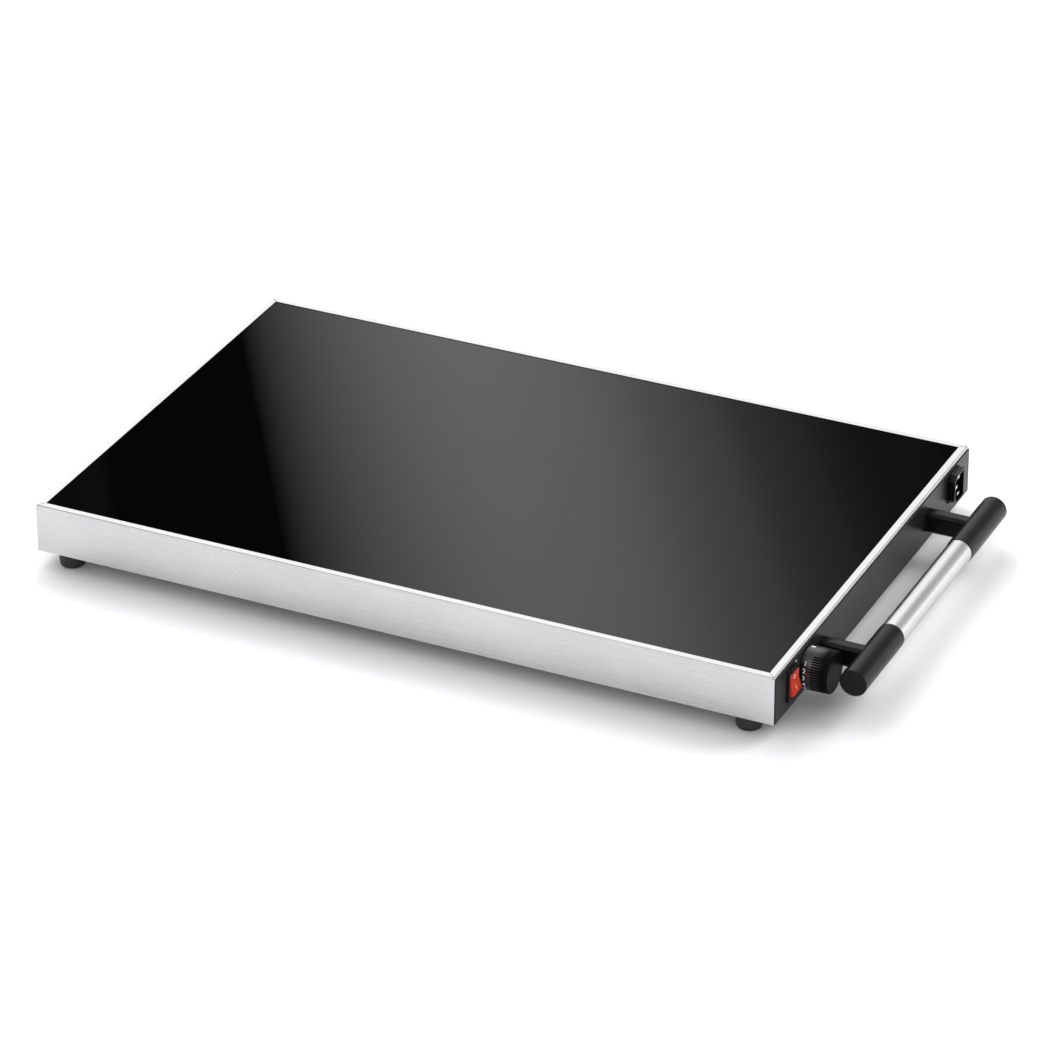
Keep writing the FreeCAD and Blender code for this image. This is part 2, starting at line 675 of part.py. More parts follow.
def make_foot(side, end):
    """A turned rubber foot with a seat for its screw."""
    name = "foot_%s_%s" % (side, end)
    part = body(name)
    drawing = sketch(part, "XZ_Plane", (SIGN[end] + "foot_x", "0", "-(%sfoot_y)" % SIGN[side]))
    bore, seat = "screw_dia / 2 + hole_play", "screw_head / 2 + hole_play"
    draw_outline(drawing, [
        (bore, "base_z"), (bore, "foot_seat"), (seat, "foot_seat"), (seat, "0"),
        ("foot_low_dia / 2", "0"), ("foot_dia / 2", "base_z * 0.45"), ("foot_dia / 2", "base_z"),
    ])
    revolve(part, drawing, "V_Axis")
    outer = size("foot_low_dia") / 2 - 0.5
    middle_x = size("foot_x") * (-1 if end == "left" else 1)
    middle_y = size("foot_y") * (-1 if side == "front" else 1)

    def low_rim(middle, along):
        return near(middle.z, 0) and math.hypot(middle.x - middle_x, middle.y - middle_y) > outer

    soften(part, "Fillet", "foot_round", low_rim)
    return keep(part, name)


def make_foot_screws():
    length = "wall_lift + sheet_t + nut_high + 1 - foot_seat"
    screws = [screw_up("foot_screw_%d" % index, x, y, "foot_seat", length)
              for index, (x, y) in enumerate(foot_centres())]
    keep(group("foot_screws", screws), "foot_screws")
    nuts = [nut("foot_nut_%d" % index, (x, y, "floor_z"), "nut_wide", "nut_high", "screw_dia / 2 + snug")
            for index, (x, y) in enumerate(foot_centres())]
    keep(group("foot_nuts", nuts), "foot_nuts")


# Heated top.


def make_glass():
    part = body("glass_plate")
    slab(part, ("0", "0", "glass_low"), "glass_len", "glass_wid", "glass_t")
    soften(part, "Fillet", "glass_corner", upright)
    return keep(part, "glass_plate")


def inlet_notch(owner, low, high):
    """Room for the inlet body in the ledge and the seal."""
    at = ("wall_x - inlet_deep / 2", "inlet_y", low)
    return window(owner, at, "inlet_deep + 4", "inlet_body_wide + 2 * notch_gap", high)


def make_seal():
    """The soft ring between the glass and its ledge."""
    part = body("glass_seal")
    slab(part, ("0", "0", "ledge_top"), "glass_len", "glass_wid", "seal_t")
    soften(part, "Fillet", "glass_corner", upright)
    window(part, ("0", "0", "ledge_top - 1"), "glass_len - 2 * seal_wide",
            "glass_wid - 2 * seal_wide", "seal_t + 2")
    inlet_notch(part, "ledge_top - 1", "seal_t + 2")
    return keep(part, "glass_seal")


def clamp_places():
    return ["clamp_mid_x + %d * clamp_step" % step for step in (-1, 0, 1)]


def clamp_screw_y():
    return "(clamp_leg_y + clamp_foot * 0.6)"


def make_inner_frame():
    """An angle section frame that carries the glass, open behind the end panel."""
    part = body("inner_frame")
    slab(part, ("0", "0", "floor_z"), "2 * frame_x", "2 * frame_y", "ledge_top - floor_z")
    soften(part, "Fillet", "corner_rad", upright)
    window(part, ("0", "0", "floor_z - 1"), "2 * leg_x", "2 * leg_y", "ledge_low - floor_z + 1")
    opening = ("2 * (frame_x - ledge_wide)", "2 * (frame_y - ledge_wide)")
    window(part, ("0", "0", "ledge_low - 1"), opening[0], opening[1], "frame_t + 2")
    gap_high = "ledge_low - floor_z + 1"
    at = ("0", "floor_z - 1 + (%s) / 2" % gap_high, "leg_x - 1")
    window(part, at, "2 * leg_short", gap_high, "frame_t + 2", "YZ_Plane")
    inlet_notch(part, "ledge_low - 1", "frame_t + 2")
    hole = "screw_dia + 2 * hole_play"
    centres = [(x, sign + clamp_screw_y()) for x in clamp_places() for sign in ("-", "")]
    bores(part, ("0", "0", "ledge_low - 1"), hole, centres, "frame_t + 2")
    return keep(part, "inner_frame")


def make_spreader():
    part = body("heat_spreader")
    at = ("(spread_left + spread_right) / 2", "0", "spread_low")
    slab(part, at, "spread_right - spread_left", "2 * spread_y", "spreader_t")
    soften(part, "Fillet", "spreader_corner", upright)
    return keep(part, "heat_spreader")


def make_element():
    """A sheathed element bent into six runs, both ends in the control bay."""
    pitch, level = size("pass_pitch"), size("element_z")
    left = size("spread_left") + size("bend_in_left")
    right = size("spread_right") - size("bend_in_right")
    ends = size("bay_x") + size("element_out")
    runs = [pitch * (step - 2.5) for step in range(6)]
    edges = []
    start = V(ends, runs[0], level)
    for index, (y, after) in enumerate(zip(runs, runs[1:])):
        turn_x = left if index % 2 == 0 else right
        bulge = -pitch / 2 if index % 2 == 0 else pitch / 2
        first, last = V(turn_x, y, level), V(turn_x, after, level)
        edges.append(Part.LineSegment(start, first).toShape())
        edges.append(Part.Arc(first, V(turn_x + bulge, (y + after) / 2, level), last).toShape())
        start = last
    edges.append(Part.LineSegment(start, V(ends, runs[-1], level)).toShape())
    ring = Part.Wire([Part.makeCircle(size("element_dia") / 2, V(ends, runs[0], level), V(1, 0, 0))])
    piece = doc.addObject("Part::Feature", "heating_element")
    piece.Shape = Part.Wire(edges).makePipeShell([ring], True, False)
    keep(piece, "heating_element")
    tips = [rod("element_tip_" + word, ("bay_x + element_out", sign + "2.5 * pass_pitch", "element_z"),
                "tip_dia / 2", "tip_long", "x") for word, sign in (("front", "-"), ("rear", ""))]
    keep(group("element_tips", tips), "element_tips")


def make_clamp_bar(name, x):
    """A strip under the element with stepped ends under the ledge."""
    left = "%s - clamp_wide / 2" % x
    leg_high = "ledge_low - mat_top"
    strip = box(name + "_strip", (left, "-clamp_leg_y", "mat_top"), ("clamp_wide",
            "2 * clamp_leg_y", "clamp_t"))
    solids = [strip]
    for word, leg_y, foot_y in (("front", "-clamp_leg_y - clamp_t", "-clamp_leg_y - clamp_foot"),
                                ("rear", "clamp_leg_y", "clamp_leg_y")):
        solids.append(box(name + "_leg_" + word, (left, leg_y, "mat_top"), ("clamp_wide", "clamp_t",
                leg_high)))
        at = (left, foot_y, "ledge_low - clamp_t")
        solids.append(box(name + "_foot_" + word, at, ("clamp_wide", "clamp_foot", "clamp_t")))
    bar = join(name + "_bar", solids)
    holes = [rod(name + "_hole_" + word, (x, sign + clamp_screw_y(), "mat_top"),
            "screw_dia / 2 + hole_play", leg_high)
             for word, sign in (("front", "-"), ("rear", ""))]
    return keep(cut(name, bar, group(name + "_holes", holes)), name)


def make_clamp_screws():
    screws = []
    for index, x in enumerate(clamp_places()):
        for word, sign in (("front", "-"), ("rear", "")):
            name = "clamp_screw_%d_%s" % (index, word)
            screws.append(screw_up(name, x, sign + clamp_screw_y(), "(ledge_low - clamp_t)",
                    "clamp_t + frame_t"))
    return keep(group("clamp_screws", screws), "clamp_screws")


def make_mat():
    """The fibre mat between the clamp bars and the heat shield."""
    part = body("insulation_mat")
    left = "(-leg_x + shield_gap + shield_t + mat_gap)"
    right = "(bay_x - shield_t - mat_gap)"
    at = ("(%s + %s) / 2" % (left, right), "0", "mat_low")
    slab(part, at, "%s - %s" % (right, left), "2 * (leg_y - shield_gap - shield_t - mat_gap)", "mat_t")
    soften(part, "Fillet", "spreader_corner", upright)
    return keep(part, "insulation_mat")


def make_shield():
    """A pan under the mat whose right rim stands up as the wall of the control bay."""
    part = body("heat_shield")
    left = "(-leg_x + shield_gap)"
    middle = "(%s + bay_x) / 2" % left
    wide, deep = "bay_x - %s" % left, "2 * (leg_y - shield_gap)"
    high = "(ledge_low - snug - shield_low)"
    slab(part, (middle, "0", "shield_low"), wide, deep, high)
    window(part, (middle, "0", "mat_low"), wide + " - 2 * shield_t", deep + " - 2 * shield_t", high)
    over = "%s - shield_rim" % high
    window(part, (middle + " - shield_t", "0", "shield_low + shield_rim"), wide, deep + " + 2",
            over + " + 1")
    centres = [("-2.5 * pass_pitch", "element_z"), ("2.5 * pass_pitch", "element_z")]
    bores(part, ("0", "0", "bay_x - 2"), "element_dia + 2 * hole_play", centres, "4", "YZ_Plane")
    bores(part, ("0", "0", "bay_x - 2"), "2 * capillary_dia", [("bulb_y", "bulb_z")], "4", "YZ_Plane")
    return keep(part, "heat_shield")


# Knob and thermostat.


def make_knob():
    """A hollow turned knob with grooves round most of its outer end."""
    part = body("knob")
    drawing = sketch(part, "XY_Plane", ("knob_x", "knob_y", "knob_z"))
    hollow, bore = "knob_dia / 2 - knob_wall", "spindle_dia / 2 + snug"
    draw_outline(drawing, [
        ("0", hollow), ("0", "knob_dia / 2"), ("rib_from - knob_gap - 0.6", "knob_dia / 2"),
        ("knob_long - knob_bevel", "knob_face_dia / 2"), ("knob_long", "knob_face_dia / 2 - knob_bevel"),
        ("knob_long", "0"), ("spindle_long + 0.3", "0"), ("spindle_long + 0.3", bore),
        ("neck_out + 0.3", bore), ("neck_out + 0.3", "knob_hub"), ("knob_hollow", "knob_hub"),
        ("knob_hollow", hollow),
    ])
    revolve(part, drawing)
    groove = sketch(part, "YZ_Plane", ("knob_y", "knob_z", "knob_x + rib_from - knob_gap"))
    reach = "(knob_dia / 2 + rib_size / 2 - rib_depth)"
    draw_circles(groove, "rib_size", [("-%s * sin(rib_start)" % reach, "%s * cos(rib_start)" % reach)])
    cutter = pocket(part, groove, "knob_long - rib_from + knob_gap - knob_bevel - 0.4")
    pattern = part.newObject("PartDesign::PolarPattern", "knob_grooves")
    pattern.Originals = [cutter]
    pattern.Axis = (drawing, ["H_Axis"])
    pattern.setExpression("Angle", ex("360 * (rib_count - 1) / rib_whole"))
    pattern.setExpression("Occurrences", ex("rib_count"))
    part.Tip = pattern
    return keep(part, "knob")


def make_thermostat():
    """The thermostat's body with its neck and chamber, and the nut on the neck."""
    corner = ("stat_x", "knob_y - stat_wide / 2", "knob_z - stat_high / 2 + 0.7")
    block = box("thermostat_block", corner, ("stat_deep", "stat_wide", "stat_high"))
    neck = rod("thermostat_neck", ("wall_x", "knob_y", "knob_z"), "neck_dia / 2",
            "face_x + neck_out - wall_x", "x")
    whole = join("thermostat_whole", [block, neck])
    chamber_long = "stat_deep - stat_back - stat_front"
    chamber = rod("thermostat_chamber", ("stat_x + stat_back", "knob_y", "knob_z"), "stat_bore / 2",
            chamber_long, "x")
    way_long = "stat_front + face_x + neck_out - wall_x"
    way = rod("thermostat_way", ("wall_x - stat_front", "knob_y", "knob_z"),
            "spindle_dia / 2 + snug", way_long, "x")
    keep(cut("thermostat_body", whole, join("thermostat_inside", [chamber, way])), "thermostat_body")
    foot = ("face_x", "knob_y", "knob_z")
    keep(nut("thermostat_nut", foot, "neck_nut", "neck_nut_high", "neck_dia / 2 + snug", "x"),
            "thermostat_nut")
    tabs = []
    for word, y in (("front", "knob_y - stat_wide / 4"), ("rear", "knob_y + stat_wide / 4")):
        at = ("stat_x - tab_long", "%s - tab_wide / 2" % y, "knob_z - 5.8 - tab_t / 2")
        tabs.append(box("thermostat_tab_" + word, at, ("tab_long", "tab_wide", "tab_t")))
    keep(group("thermostat_terminals", tabs), "thermostat_terminals")


def make_spindle():
    """The spindle with a flat for the knob, and the cam on its thinner end."""
    tail_x = "(stat_x + stat_back + 1)"
    shoulder_x = "(wall_x - stat_front + 0.2)"
    tail = rod("spindle_tail", (tail_x, "knob_y", "knob_z"), "tail_dia / 2",
                 "%s - %s" % (shoulder_x, tail_x), "x")
    shank = rod("spindle_shank", (shoulder_x, "knob_y", "knob_z"), "spindle_dia / 2",
                "knob_x + spindle_long - %s" % shoulder_x, "x")
    whole = join("spindle_whole", [tail, shank])
    flat = box("spindle_cutter", ("face_x + neck_out + 1", "knob_y - spindle_dia",
            "knob_z + spindle_dia / 2 - spindle_flat"),
               ("spindle_long", "2 * spindle_dia", "spindle_dia"))
    keep(cut("thermostat_spindle", whole, flat), "thermostat_spindle")
    disc = rod("cam_disc", ("cam_x", "knob_y", "knob_z + cam_throw"), "cam_dia / 2", "cam_long", "x")
    bore = rod("cam_bore", ("cam_x", "knob_y", "knob_z"), "tail_dia / 2 + snug", "cam_long", "x")
    keep(cut("thermostat_cam", disc, bore), "thermostat_cam")


def make_bulb():
    """The sensing bulb under the spreader, its capillary back to the thermostat, and its clip."""
    bulb = rod("bulb_rod", ("bulb_x", "bulb_y", "bulb_z"), "bulb_dia / 2", "bulb_long", "x")
    route = [
        point("stat_x", "knob_y", "knob_z + 5"),
        point("stat_x - 9", "knob_y", "knob_z + 5"),
        point("bay_x + 12", "bulb_y", "bulb_z"),
        point("spread_right - bulb_end - 1", "bulb_y", "bulb_z"),
    ]
    line = tube("bulb_capillary", route, "capillary_dia")
    keep(join("thermostat_bulb", [bulb, line]), "thermostat_bulb")
    middle = "(bulb_x + bulb_long / 2 - clip_long / 2)"
    half = "(bulb_dia / 2 + 0.4)"
    outer = box("clip_outer", (middle, "bulb_y - %s - clip_t" % half,
            "bulb_z - bulb_dia / 2 - snug - clip_t"),
                ("clip_long", "2 * %s + 2 * clip_t" % half, "bulb_dia + clip_t + 2 * snug"))
    inner = box("clip_inner", (middle, "bulb_y - %s" % half, "bulb_z - bulb_dia / 2 - snug"),
                ("clip_long", "2 * %s" % half, "bulb_dia + 1"))
    keep(cut("bulb_clip", outer, inner), "bulb_clip")


# Switch.


def make_switch_housing():
    """Bezel and body with a well for the rocker, a pit for its contact and holes for its pivot pins."""
    part = body("switch_housing")
    middle = ("switch_y", "switch_z")
    slab(part, middle + ("face_x",), "bezel_wide", "bezel_high", "bezel_t", "YZ_Plane")
    soften(part, "Fillet", "bezel_edge * 2", lambda point_, along: abs(along.x) > 0.99)
    face = size("face_x") + size("bezel_t")
    soften(part, "Chamfer", "bezel_edge", lambda point_, along: near(point_.x, face))
    inside = ("switch_wide - 2 * snug", "switch_high - 2 * snug")
    slab(part, middle + ("face_x - switch_deep",), inside[0], inside[1],
            "switch_deep + bezel_t / 2", "YZ_Plane")
    window(part, middle + ("face_x - well_deep",), "well_wide", "well_high",
            "well_deep + bezel_t + 1", "YZ_Plane")
    window(part, middle + ("face_x - pit_deep",), "pit_wide", "pit_high", "pit_deep", "YZ_Plane")
    across = "well_wide + 2 * trunnion_long + 0.1"
    drawing = sketch(part, "XZ_Plane", ("pivot_x", "switch_z", "-switch_y - (%s) / 2" % across))
    draw_circles(drawing, "trunnion_dia + 2 * snug", [("0", "0")])
    pocket(part, drawing, across)
    return keep(part, "switch_housing")


def make_rocker():
    """The rocker with a dipped face, a hollow back, a nib and two pivot pins, leaning at rest."""
    part = body("switch_rocker")
    lean = sketch(part, "XZ_Plane", ("pivot_x", "switch_z", "-switch_y"), "rocker_tilt")
    draw_outline(lean, [
        ("rocker_rise", "rocker_half"), ("rocker_rise - rocker_dip", "0"), ("rocker_rise",
                "-rocker_half"),
        ("-1", "0.2 - rocker_half"), ("-rocker_skirt", "1 - rocker_half"),
        ("-rocker_skirt", "rocker_half - 1"), ("-1", "rocker_half - 0.2"),
    ])
    pad(part, lean, "rocker_wide", True)
    for side in ("", "-"):
        at = ("pivot_x", "switch_z", "-switch_y - (rocker_wide - 3) / 2")
        hollow = sketch(part, "XZ_Plane", at, "rocker_tilt")
        far, close = "%s(rocker_half - 1.6)" % side, "%s1.2" % side
        draw_outline(hollow, [("1.6", far), ("1.6", close), ("-rocker_skirt - 1", close),
                ("-rocker_skirt - 1", far)])
        pocket(part, hollow, "rocker_wide - 3")
    pins = sketch(part, "XZ_Plane", ("pivot_x", "switch_z", "-switch_y"))
    draw_circles(pins, "trunnion_dia", [("0", "0")])
    pad(part, pins, "rocker_wide + 2 * trunnion_long", True)
    nib = sketch(part, "XZ_Plane", ("pivot_x", "switch_z", "-switch_y"), "rocker_tilt")
    draw_outline(nib, [
        ("-1", "nib_dia / 2"), ("-nib_reach + 0.5", "nib_dia / 2"), ("-nib_reach", "0"),
        ("-nib_reach + 0.5", "-nib_dia / 2"), ("-1", "-nib_dia / 2"),
    ])
    pad(part, nib, "nib_dia", True)
    return keep(part, "switch_rocker")


def make_contact():
    """The see-saw contact under the rocker's nib, leaning the other way."""
    part = body("switch_contact")
    drawing = sketch(part, "XZ_Plane", ("contact_x", "switch_z", "-switch_y"), "-contact_tilt")
    draw_rectangle(drawing, "contact_t", "contact_long")
    pad(part, drawing, "contact_wide", True)
    return keep(part, "switch_contact")


def switch_tab_places():
    """Four tabs at the back of the switch."""
    return [(y, z) for y in ("switch_y - 4", "switch_y + 4") for z in ("switch_z - 6", "switch_z + 6")]


def make_switch_inside():
    """The lamp under the rocker, and the tabs with the contact's fulcrum."""
    lamp_x, lamp_z = "face_x - well_deep + lamp_dia / 2 + 0.3", "switch_z + 3.9"
    lamp = rod("switch_lamp", (lamp_x, "switch_y - lamp_long / 2", lamp_z), "lamp_dia / 2",
            "lamp_long", "y")
    keep(lamp, "switch_lamp")
    tabs = []
    for index, (y, z) in enumerate(switch_tab_places()):
        at = ("face_x - switch_deep - tab_long", "%s - tab_wide / 2" % y, "%s - tab_t / 2" % z)
        tabs.append(box("switch_tab_%d" % index, at, ("tab_long", "tab_wide", "tab_t")))
    fulcrum_x = "(face_x - pit_deep)"
    at = (fulcrum_x, "switch_y - contact_wide / 2", "switch_z - 0.4")
    tabs.append(box("switch_fulcrum", at, ("contact_x - contact_t / 2 - snug - %s" % fulcrum_x,
            "contact_wide", "0.8")))
    keep(group("switch_terminals", tabs), "switch_terminals")


# Mains inlet.


def inlet_outline(drawing, wide, high, chamfer):
    """An upright rectangle whose two corners towards the front are cut off."""
    half, tall = "(%s) / 2" % wide, "(%s) / 2" % high
    draw_outline(drawing, [
        (half, "-" + tall), (half, tall), ("-%s + (%s)" % (half, chamfer), tall),
        ("-" + half, "%s - (%s)" % (tall, chamfer)), ("-" + half, "-%s + (%s)" % (tall, chamfer)),
        ("-%s + (%s)" % (half, chamfer), "-" + tall),
    ])


def make_inlet_housing():
    """Flange, shroud and body with a socket that has two cut corners."""
    part = body("inlet_housing")

    def block(start, wide, high, chamfer, length):
        drawing = sketch(part, "YZ_Plane", ("inlet_y", "inlet_z", start))
        inlet_outline(drawing, wide, high, chamfer)
        return pad(part, drawing, length)

    wider, taller = "inlet_wide + 2 * inlet_border", "inlet_high + 2 * inlet_border"
    block("face_x", wider, taller, "inlet_chamfer", "inlet_flange")
    block("face_x", "inlet_wide", "inlet_high", "inlet_chamfer", "inlet_out")
    block("face_x + inlet_out - inlet_lip", "inlet_wide + inlet_border", "inlet_high + inlet_border",
          "inlet_chamfer", "inlet_lip")
    at = ("inlet_y", "inlet_z", "face_x - inlet_deep")
    slab(part, at, "inlet_body_wide - 2 * snug", "inlet_body_high - 2 * snug", "inlet_deep + 1",
            "YZ_Plane")
    mouth = sketch(part, "YZ_Plane", ("inlet_y", "inlet_z", "face_x + inlet_out - socket_deep"))
    inlet_outline(mouth, "socket_wide", "socket_high", "socket_chamfer")
    pocket(part, mouth, "socket_deep + 1")
    for word, y, z in inlet_pin_places():
        at = (y, z, "face_x - inlet_deep - 1")
        deep = "inlet_deep + inlet_out - socket_deep + 2"
        window(part, at, "pin_wide + 2 * snug", "tab_t + 2 * snug", deep, "YZ_Plane")
    return keep(part, "inlet_housing")


def inlet_pin_places():
    """Live above, neutral below and earth towards the front, about the middle of the socket."""
    return [
        ("live", "inlet_y + pin_offset", "inlet_z + pin_pitch / 2"),
        ("neutral", "inlet_y + pin_offset", "inlet_z - pin_pitch / 2"),
        ("earth", "inlet_y - pin_offset", "inlet_z"),
    ]


def make_inlet_pins():
    """Three flat pins, each with a tab behind the housing."""
    pins = []
    socket_x = "(face_x + inlet_out - socket_deep)"
    back_x = "(face_x - inlet_deep - tab_long)"
    for word, y, z in inlet_pin_places():
        at = (socket_x, "%s - pin_wide / 2" % y, "%s - pin_t / 2" % z)
        blade = box("inlet_blade_" + word, at, ("socket_deep - pin_back", "pin_wide", "pin_t"))
        at = (back_x, "%s - pin_wide / 2" % y, "%s - tab_t / 2" % z)
        tail = box("inlet_tail_" + word, at, ("%s - %s" % (socket_x, back_x), "pin_wide", "tab_t"))
        pins.append(join("inlet_pin_" + word, [blade, tail]))
    keep(group("inlet_pins", pins), "inlet_pins")


def make_inlet_retainer():
    """The clip round three sides of the inlet that holds it against the inside of the wall."""
    part = body("inlet_retainer")
    low, top = "(inlet_z - inlet_body_high / 2 - retainer_border)", "(ledge_low - frame_gap)"
    at = ("inlet_y", "(%s + %s) / 2" % (low, top), "wall_x - retainer_t")
    high = "%s - %s" % (top, low)
    slab(part, at, "inlet_body_wide + 2 * retainer_border", high, "retainer_t", "YZ_Plane")
    at = ("inlet_y", "inlet_z", "wall_x - retainer_t - 1")
    window(part, at, "inlet_body_wide", "inlet_body_high", "retainer_t + 2", "YZ_Plane")
    return keep(part, "inlet_retainer")


# Handle.


def make_handle_end(word, sign):
    """A moulded sleeve with its post, its spigot for the tube and the pit for the rod's nut."""
    name = "handle_end_" + word
    part = body(name)
    slab(part, ("%sscrew_mid_y" % sign, "handle_z", "face_x"), "post_wide", "post_high",
            "handle_x - face_x", "YZ_Plane")
    soften(part, "Fillet", "post_edge", lambda middle, along: abs(along.x) > 0.99)

    def ring(start, diameter, length, add):
        """Round stock or a round hole about the handle's axis, from start towards the handle's end."""
        low = start if sign == "" else "-(%s) - (%s)" % (start, length)
        high = "-(%s) - (%s)" % (low, length)
        drawing = sketch(part, "XZ_Plane", ("handle_x", "handle_z", high))
        draw_circles(drawing, diameter, [("0", "0")])
        return pad(part, drawing, length) if add else pocket(part, drawing, length)

    ring("tube_half", "sleeve_dia", "handle_half - tube_half", True)
    ends = (size("handle_half"), size("tube_half"))
    soften(part, "Chamfer", "sleeve_edge", lambda middle, along: near(abs(middle.y), ends[0]))
    ring("tube_half - spigot_long", "tube_dia - 2 * tube_t - 2 * snug", "spigot_long + 1", True)
    ring("tube_half - spigot_long - 1", "rod_dia + 2 * hole_play",
            "handle_half - tube_half + spigot_long + 1", False)
    ring("handle_half - rod_pit", "cap_dia + 2 * snug", "rod_pit + 1", False)
    centres = [(row, "handle_z") for row in screw_rows() if row.startswith("-") == (sign == "-")]
    bores(part, ("0", "0", "face_x - 1"), "handle_screw_dia + 2 * snug", centres,
            "handle_screw_grip + 1", "YZ_Plane")
    return keep(part, name)


def make_handle():
    for word, sign in (("front", "-"), ("rear", "")):
        make_handle_end(word, sign)
        cap_y = "-handle_half" if sign else "handle_half - cap_t"
        keep(rod("handle_cap_" + word, ("handle_x", cap_y, "handle_z"), "cap_dia / 2", "cap_t", "y"),
             "handle_cap_" + word)
    axis = ("handle_x", "-tube_half", "handle_z")
    outer = rod("tube_outer", axis, "tube_dia / 2", "2 * tube_half", "y")
    inner = rod("tube_inner", axis, "tube_dia / 2 - tube_t", "2 * tube_half", "y")
    keep(cut("handle_tube", outer, inner), "handle_tube")
    pit = "(handle_half - rod_pit)"
    reach = "(%s + rod_nut_high + 1)" % pit
    keep(rod("handle_rod", ("handle_x", "-" + reach, "handle_z"), "rod_dia / 2", "2 * " + reach,
            "y"), "handle_rod")
    nuts = []
    for word, y in (("front", "-%s - rod_nut_high" % pit), ("rear", pit)):
        foot = ("handle_x", y, "handle_z")
        nuts.append(nut("rod_nut_" + word, foot, "rod_nut_wide", "rod_nut_high",
                "rod_dia / 2 + snug", "y"))
    keep(group("handle_rod_nuts", nuts), "handle_rod_nuts")


def make_handle_fixings():
    """Backing plates inside the wall and the screws that pull the posts against the end panel."""
    plates, screws = [], []
    plate_x, head_x = "wall_x - backing_t", "wall_x - backing_t - handle_screw_high"
    for word, row in zip(("front", "rear"), screw_rows()):
        corner = (plate_x, "%s - backing_wide / 2" % row, "handle_z - backing_high / 2")
        blank = box("plate_blank_" + word, corner, ("backing_t", "backing_wide", "backing_high"))
        radius = "handle_screw_dia / 2 + hole_play"
        hole = rod("plate_hole_" + word, (plate_x, row, "handle_z"), radius, "backing_t", "x")
        plates.append(cut("plate_" + word, blank, hole))
        name = "handle_screw_" + word
        radius = "handle_screw_head / 2"
        head = rod(name + "_head", (head_x, row, "handle_z"), radius, "handle_screw_high", "x")
        length = "backing_t + sheet_t + panel_t + handle_screw_grip - 1"
        shank = rod(name + "_shank", (plate_x, row, "handle_z"), "handle_screw_dia / 2", length, "x")
        screws.append(join(name, [head, shank]))
    keep(group("handle_plates", plates), "handle_plates")
    keep(group("handle_screws", screws), "handle_screws")


# Wiring in the control bay.


def lead(name, points):
    return keep(tube(name, points, "lead_dia", 0.8), name)


def make_leads():
    """Insulated leads between the tabs, each along its own route through the bay."""
    inlet_x = "face_x - inlet_deep - tab_long"
    switch_x = "face_x - switch_deep - tab_long"
    stat_tab_x = "stat_x - tab_long"
    tip_x = "bay_x + element_out + tip_long"
    tip_y = 2.5 * size("pass_pitch")
    half_pitch = size("pin_pitch") / 2
    quarter = size("stat_wide") / 4
    live_z = "inlet_z + %g" % half_pitch
    neutral_z = "inlet_z - %g" % half_pitch
    stat_z = "knob_z - 5.8"
    low_live, low_neutral = "floor_z + 7", "floor_z + 4"
    lead("live_lead", [
        point(inlet_x, "inlet_y + pin_offset", live_z),
        point(inlet_x + " - 8", "inlet_y + pin_offset", live_z),
        point("bay_x + 8.5", "inlet_y - 12", low_live),
        point("bay_x + 8.5", "switch_y + 16", low_live),
        point(switch_x + " - 12", "switch_y - 4", "switch_z + 6"),
        point(switch_x, "switch_y - 4", "switch_z + 6"),
    ])
    lead("neutral_lead", [
        point(inlet_x, "inlet_y + pin_offset", neutral_z),
        point(inlet_x + " - 10", "inlet_y + pin_offset", neutral_z),
        point("bay_x + 3.5", "inlet_y - 4", low_neutral),
        point("bay_x + 3.5", "switch_y + 12", low_neutral),
        point(switch_x + " - 12", "switch_y - 4", "switch_z - 6"),
        point(switch_x, "switch_y - 4", "switch_z - 6"),
    ])
    lead("switched_lead", [
        point(switch_x, "switch_y + 4", "switch_z - 6"),
        point(switch_x + " - 9", "switch_y + 4", "switch_z - 6"),
        point(stat_tab_x + " - 8", "knob_y - %g" % quarter, stat_z),
        point(stat_tab_x, "knob_y - %g" % quarter, stat_z),
    ])
    lead("heater_live_lead", [
        point(stat_tab_x, "knob_y + %g" % quarter, stat_z),
        point(stat_tab_x + " - 11.4", "knob_y + %g" % quarter, stat_z),
        point(stat_tab_x + " - 11.4", "knob_y + %g + 12" % quarter, "element_z - 8.6"),
        point(tip_x + " + 7.6", "knob_y + %g + 12" % quarter, "element_z"),
        point(tip_x + " + 7.6", "%g" % -tip_y, "element_z"),
        point(tip_x, "%g" % -tip_y, "element_z"),
    ])
    lead("heater_neutral_lead", [
        point(switch_x, "switch_y + 4", "switch_z + 6"),
        point(switch_x + " - 10", "switch_y + 4", "switch_z + 6"),
        point("bay_x + 5", "switch_y + 14", "element_z - 9"),
        point("bay_x + 5", "%g - 34" % tip_y, "element_z - 9"),
        point(tip_x + " + 8", "%g - 14" % tip_y, "element_z - 3"),
        point(tip_x + " + 6", "%g" % tip_y, "element_z"),
        point(tip_x, "%g" % tip_y, "element_z"),
    ])
    lead("earth_lead", [
        point(inlet_x, "inlet_y - pin_offset", "inlet_z"),
        point(inlet_x + " - 8", "inlet_y - pin_offset", "inlet_z"),
        point(inlet_x + " - 6", "inlet_y - 16", "floor_z + 9"),
        point("wall_x - earth_x", "earth_y + 9", "floor_z + 1.25"),
        point("wall_x - earth_x", "earth_y + 4.05", "floor_z + 1.25"),
    ])


def make_earth():
    """The earth stud on the lower flange, its nut and the ring tag between them."""
    x, y = "wall_x - earth_x", "earth_y"
    keep(rod("earth_stud", (x, y, "floor_z"), "screw_dia / 2", "earth_high"), "earth_stud")
    keep(nut("earth_nut", (x, y, "floor_z + ring_t"), "nut_wide", "nut_high",
            "screw_dia / 2 + snug"), "earth_nut")
    disc = rod("earth_tag_disc", (x, y, "floor_z"), "screw_head / 2", "ring_t")
    hole = rod("earth_tag_hole", (x, y, "floor_z"), "screw_dia / 2 + snug", "ring_t")
    keep(cut("earth_tag", disc, hole), "earth_tag")


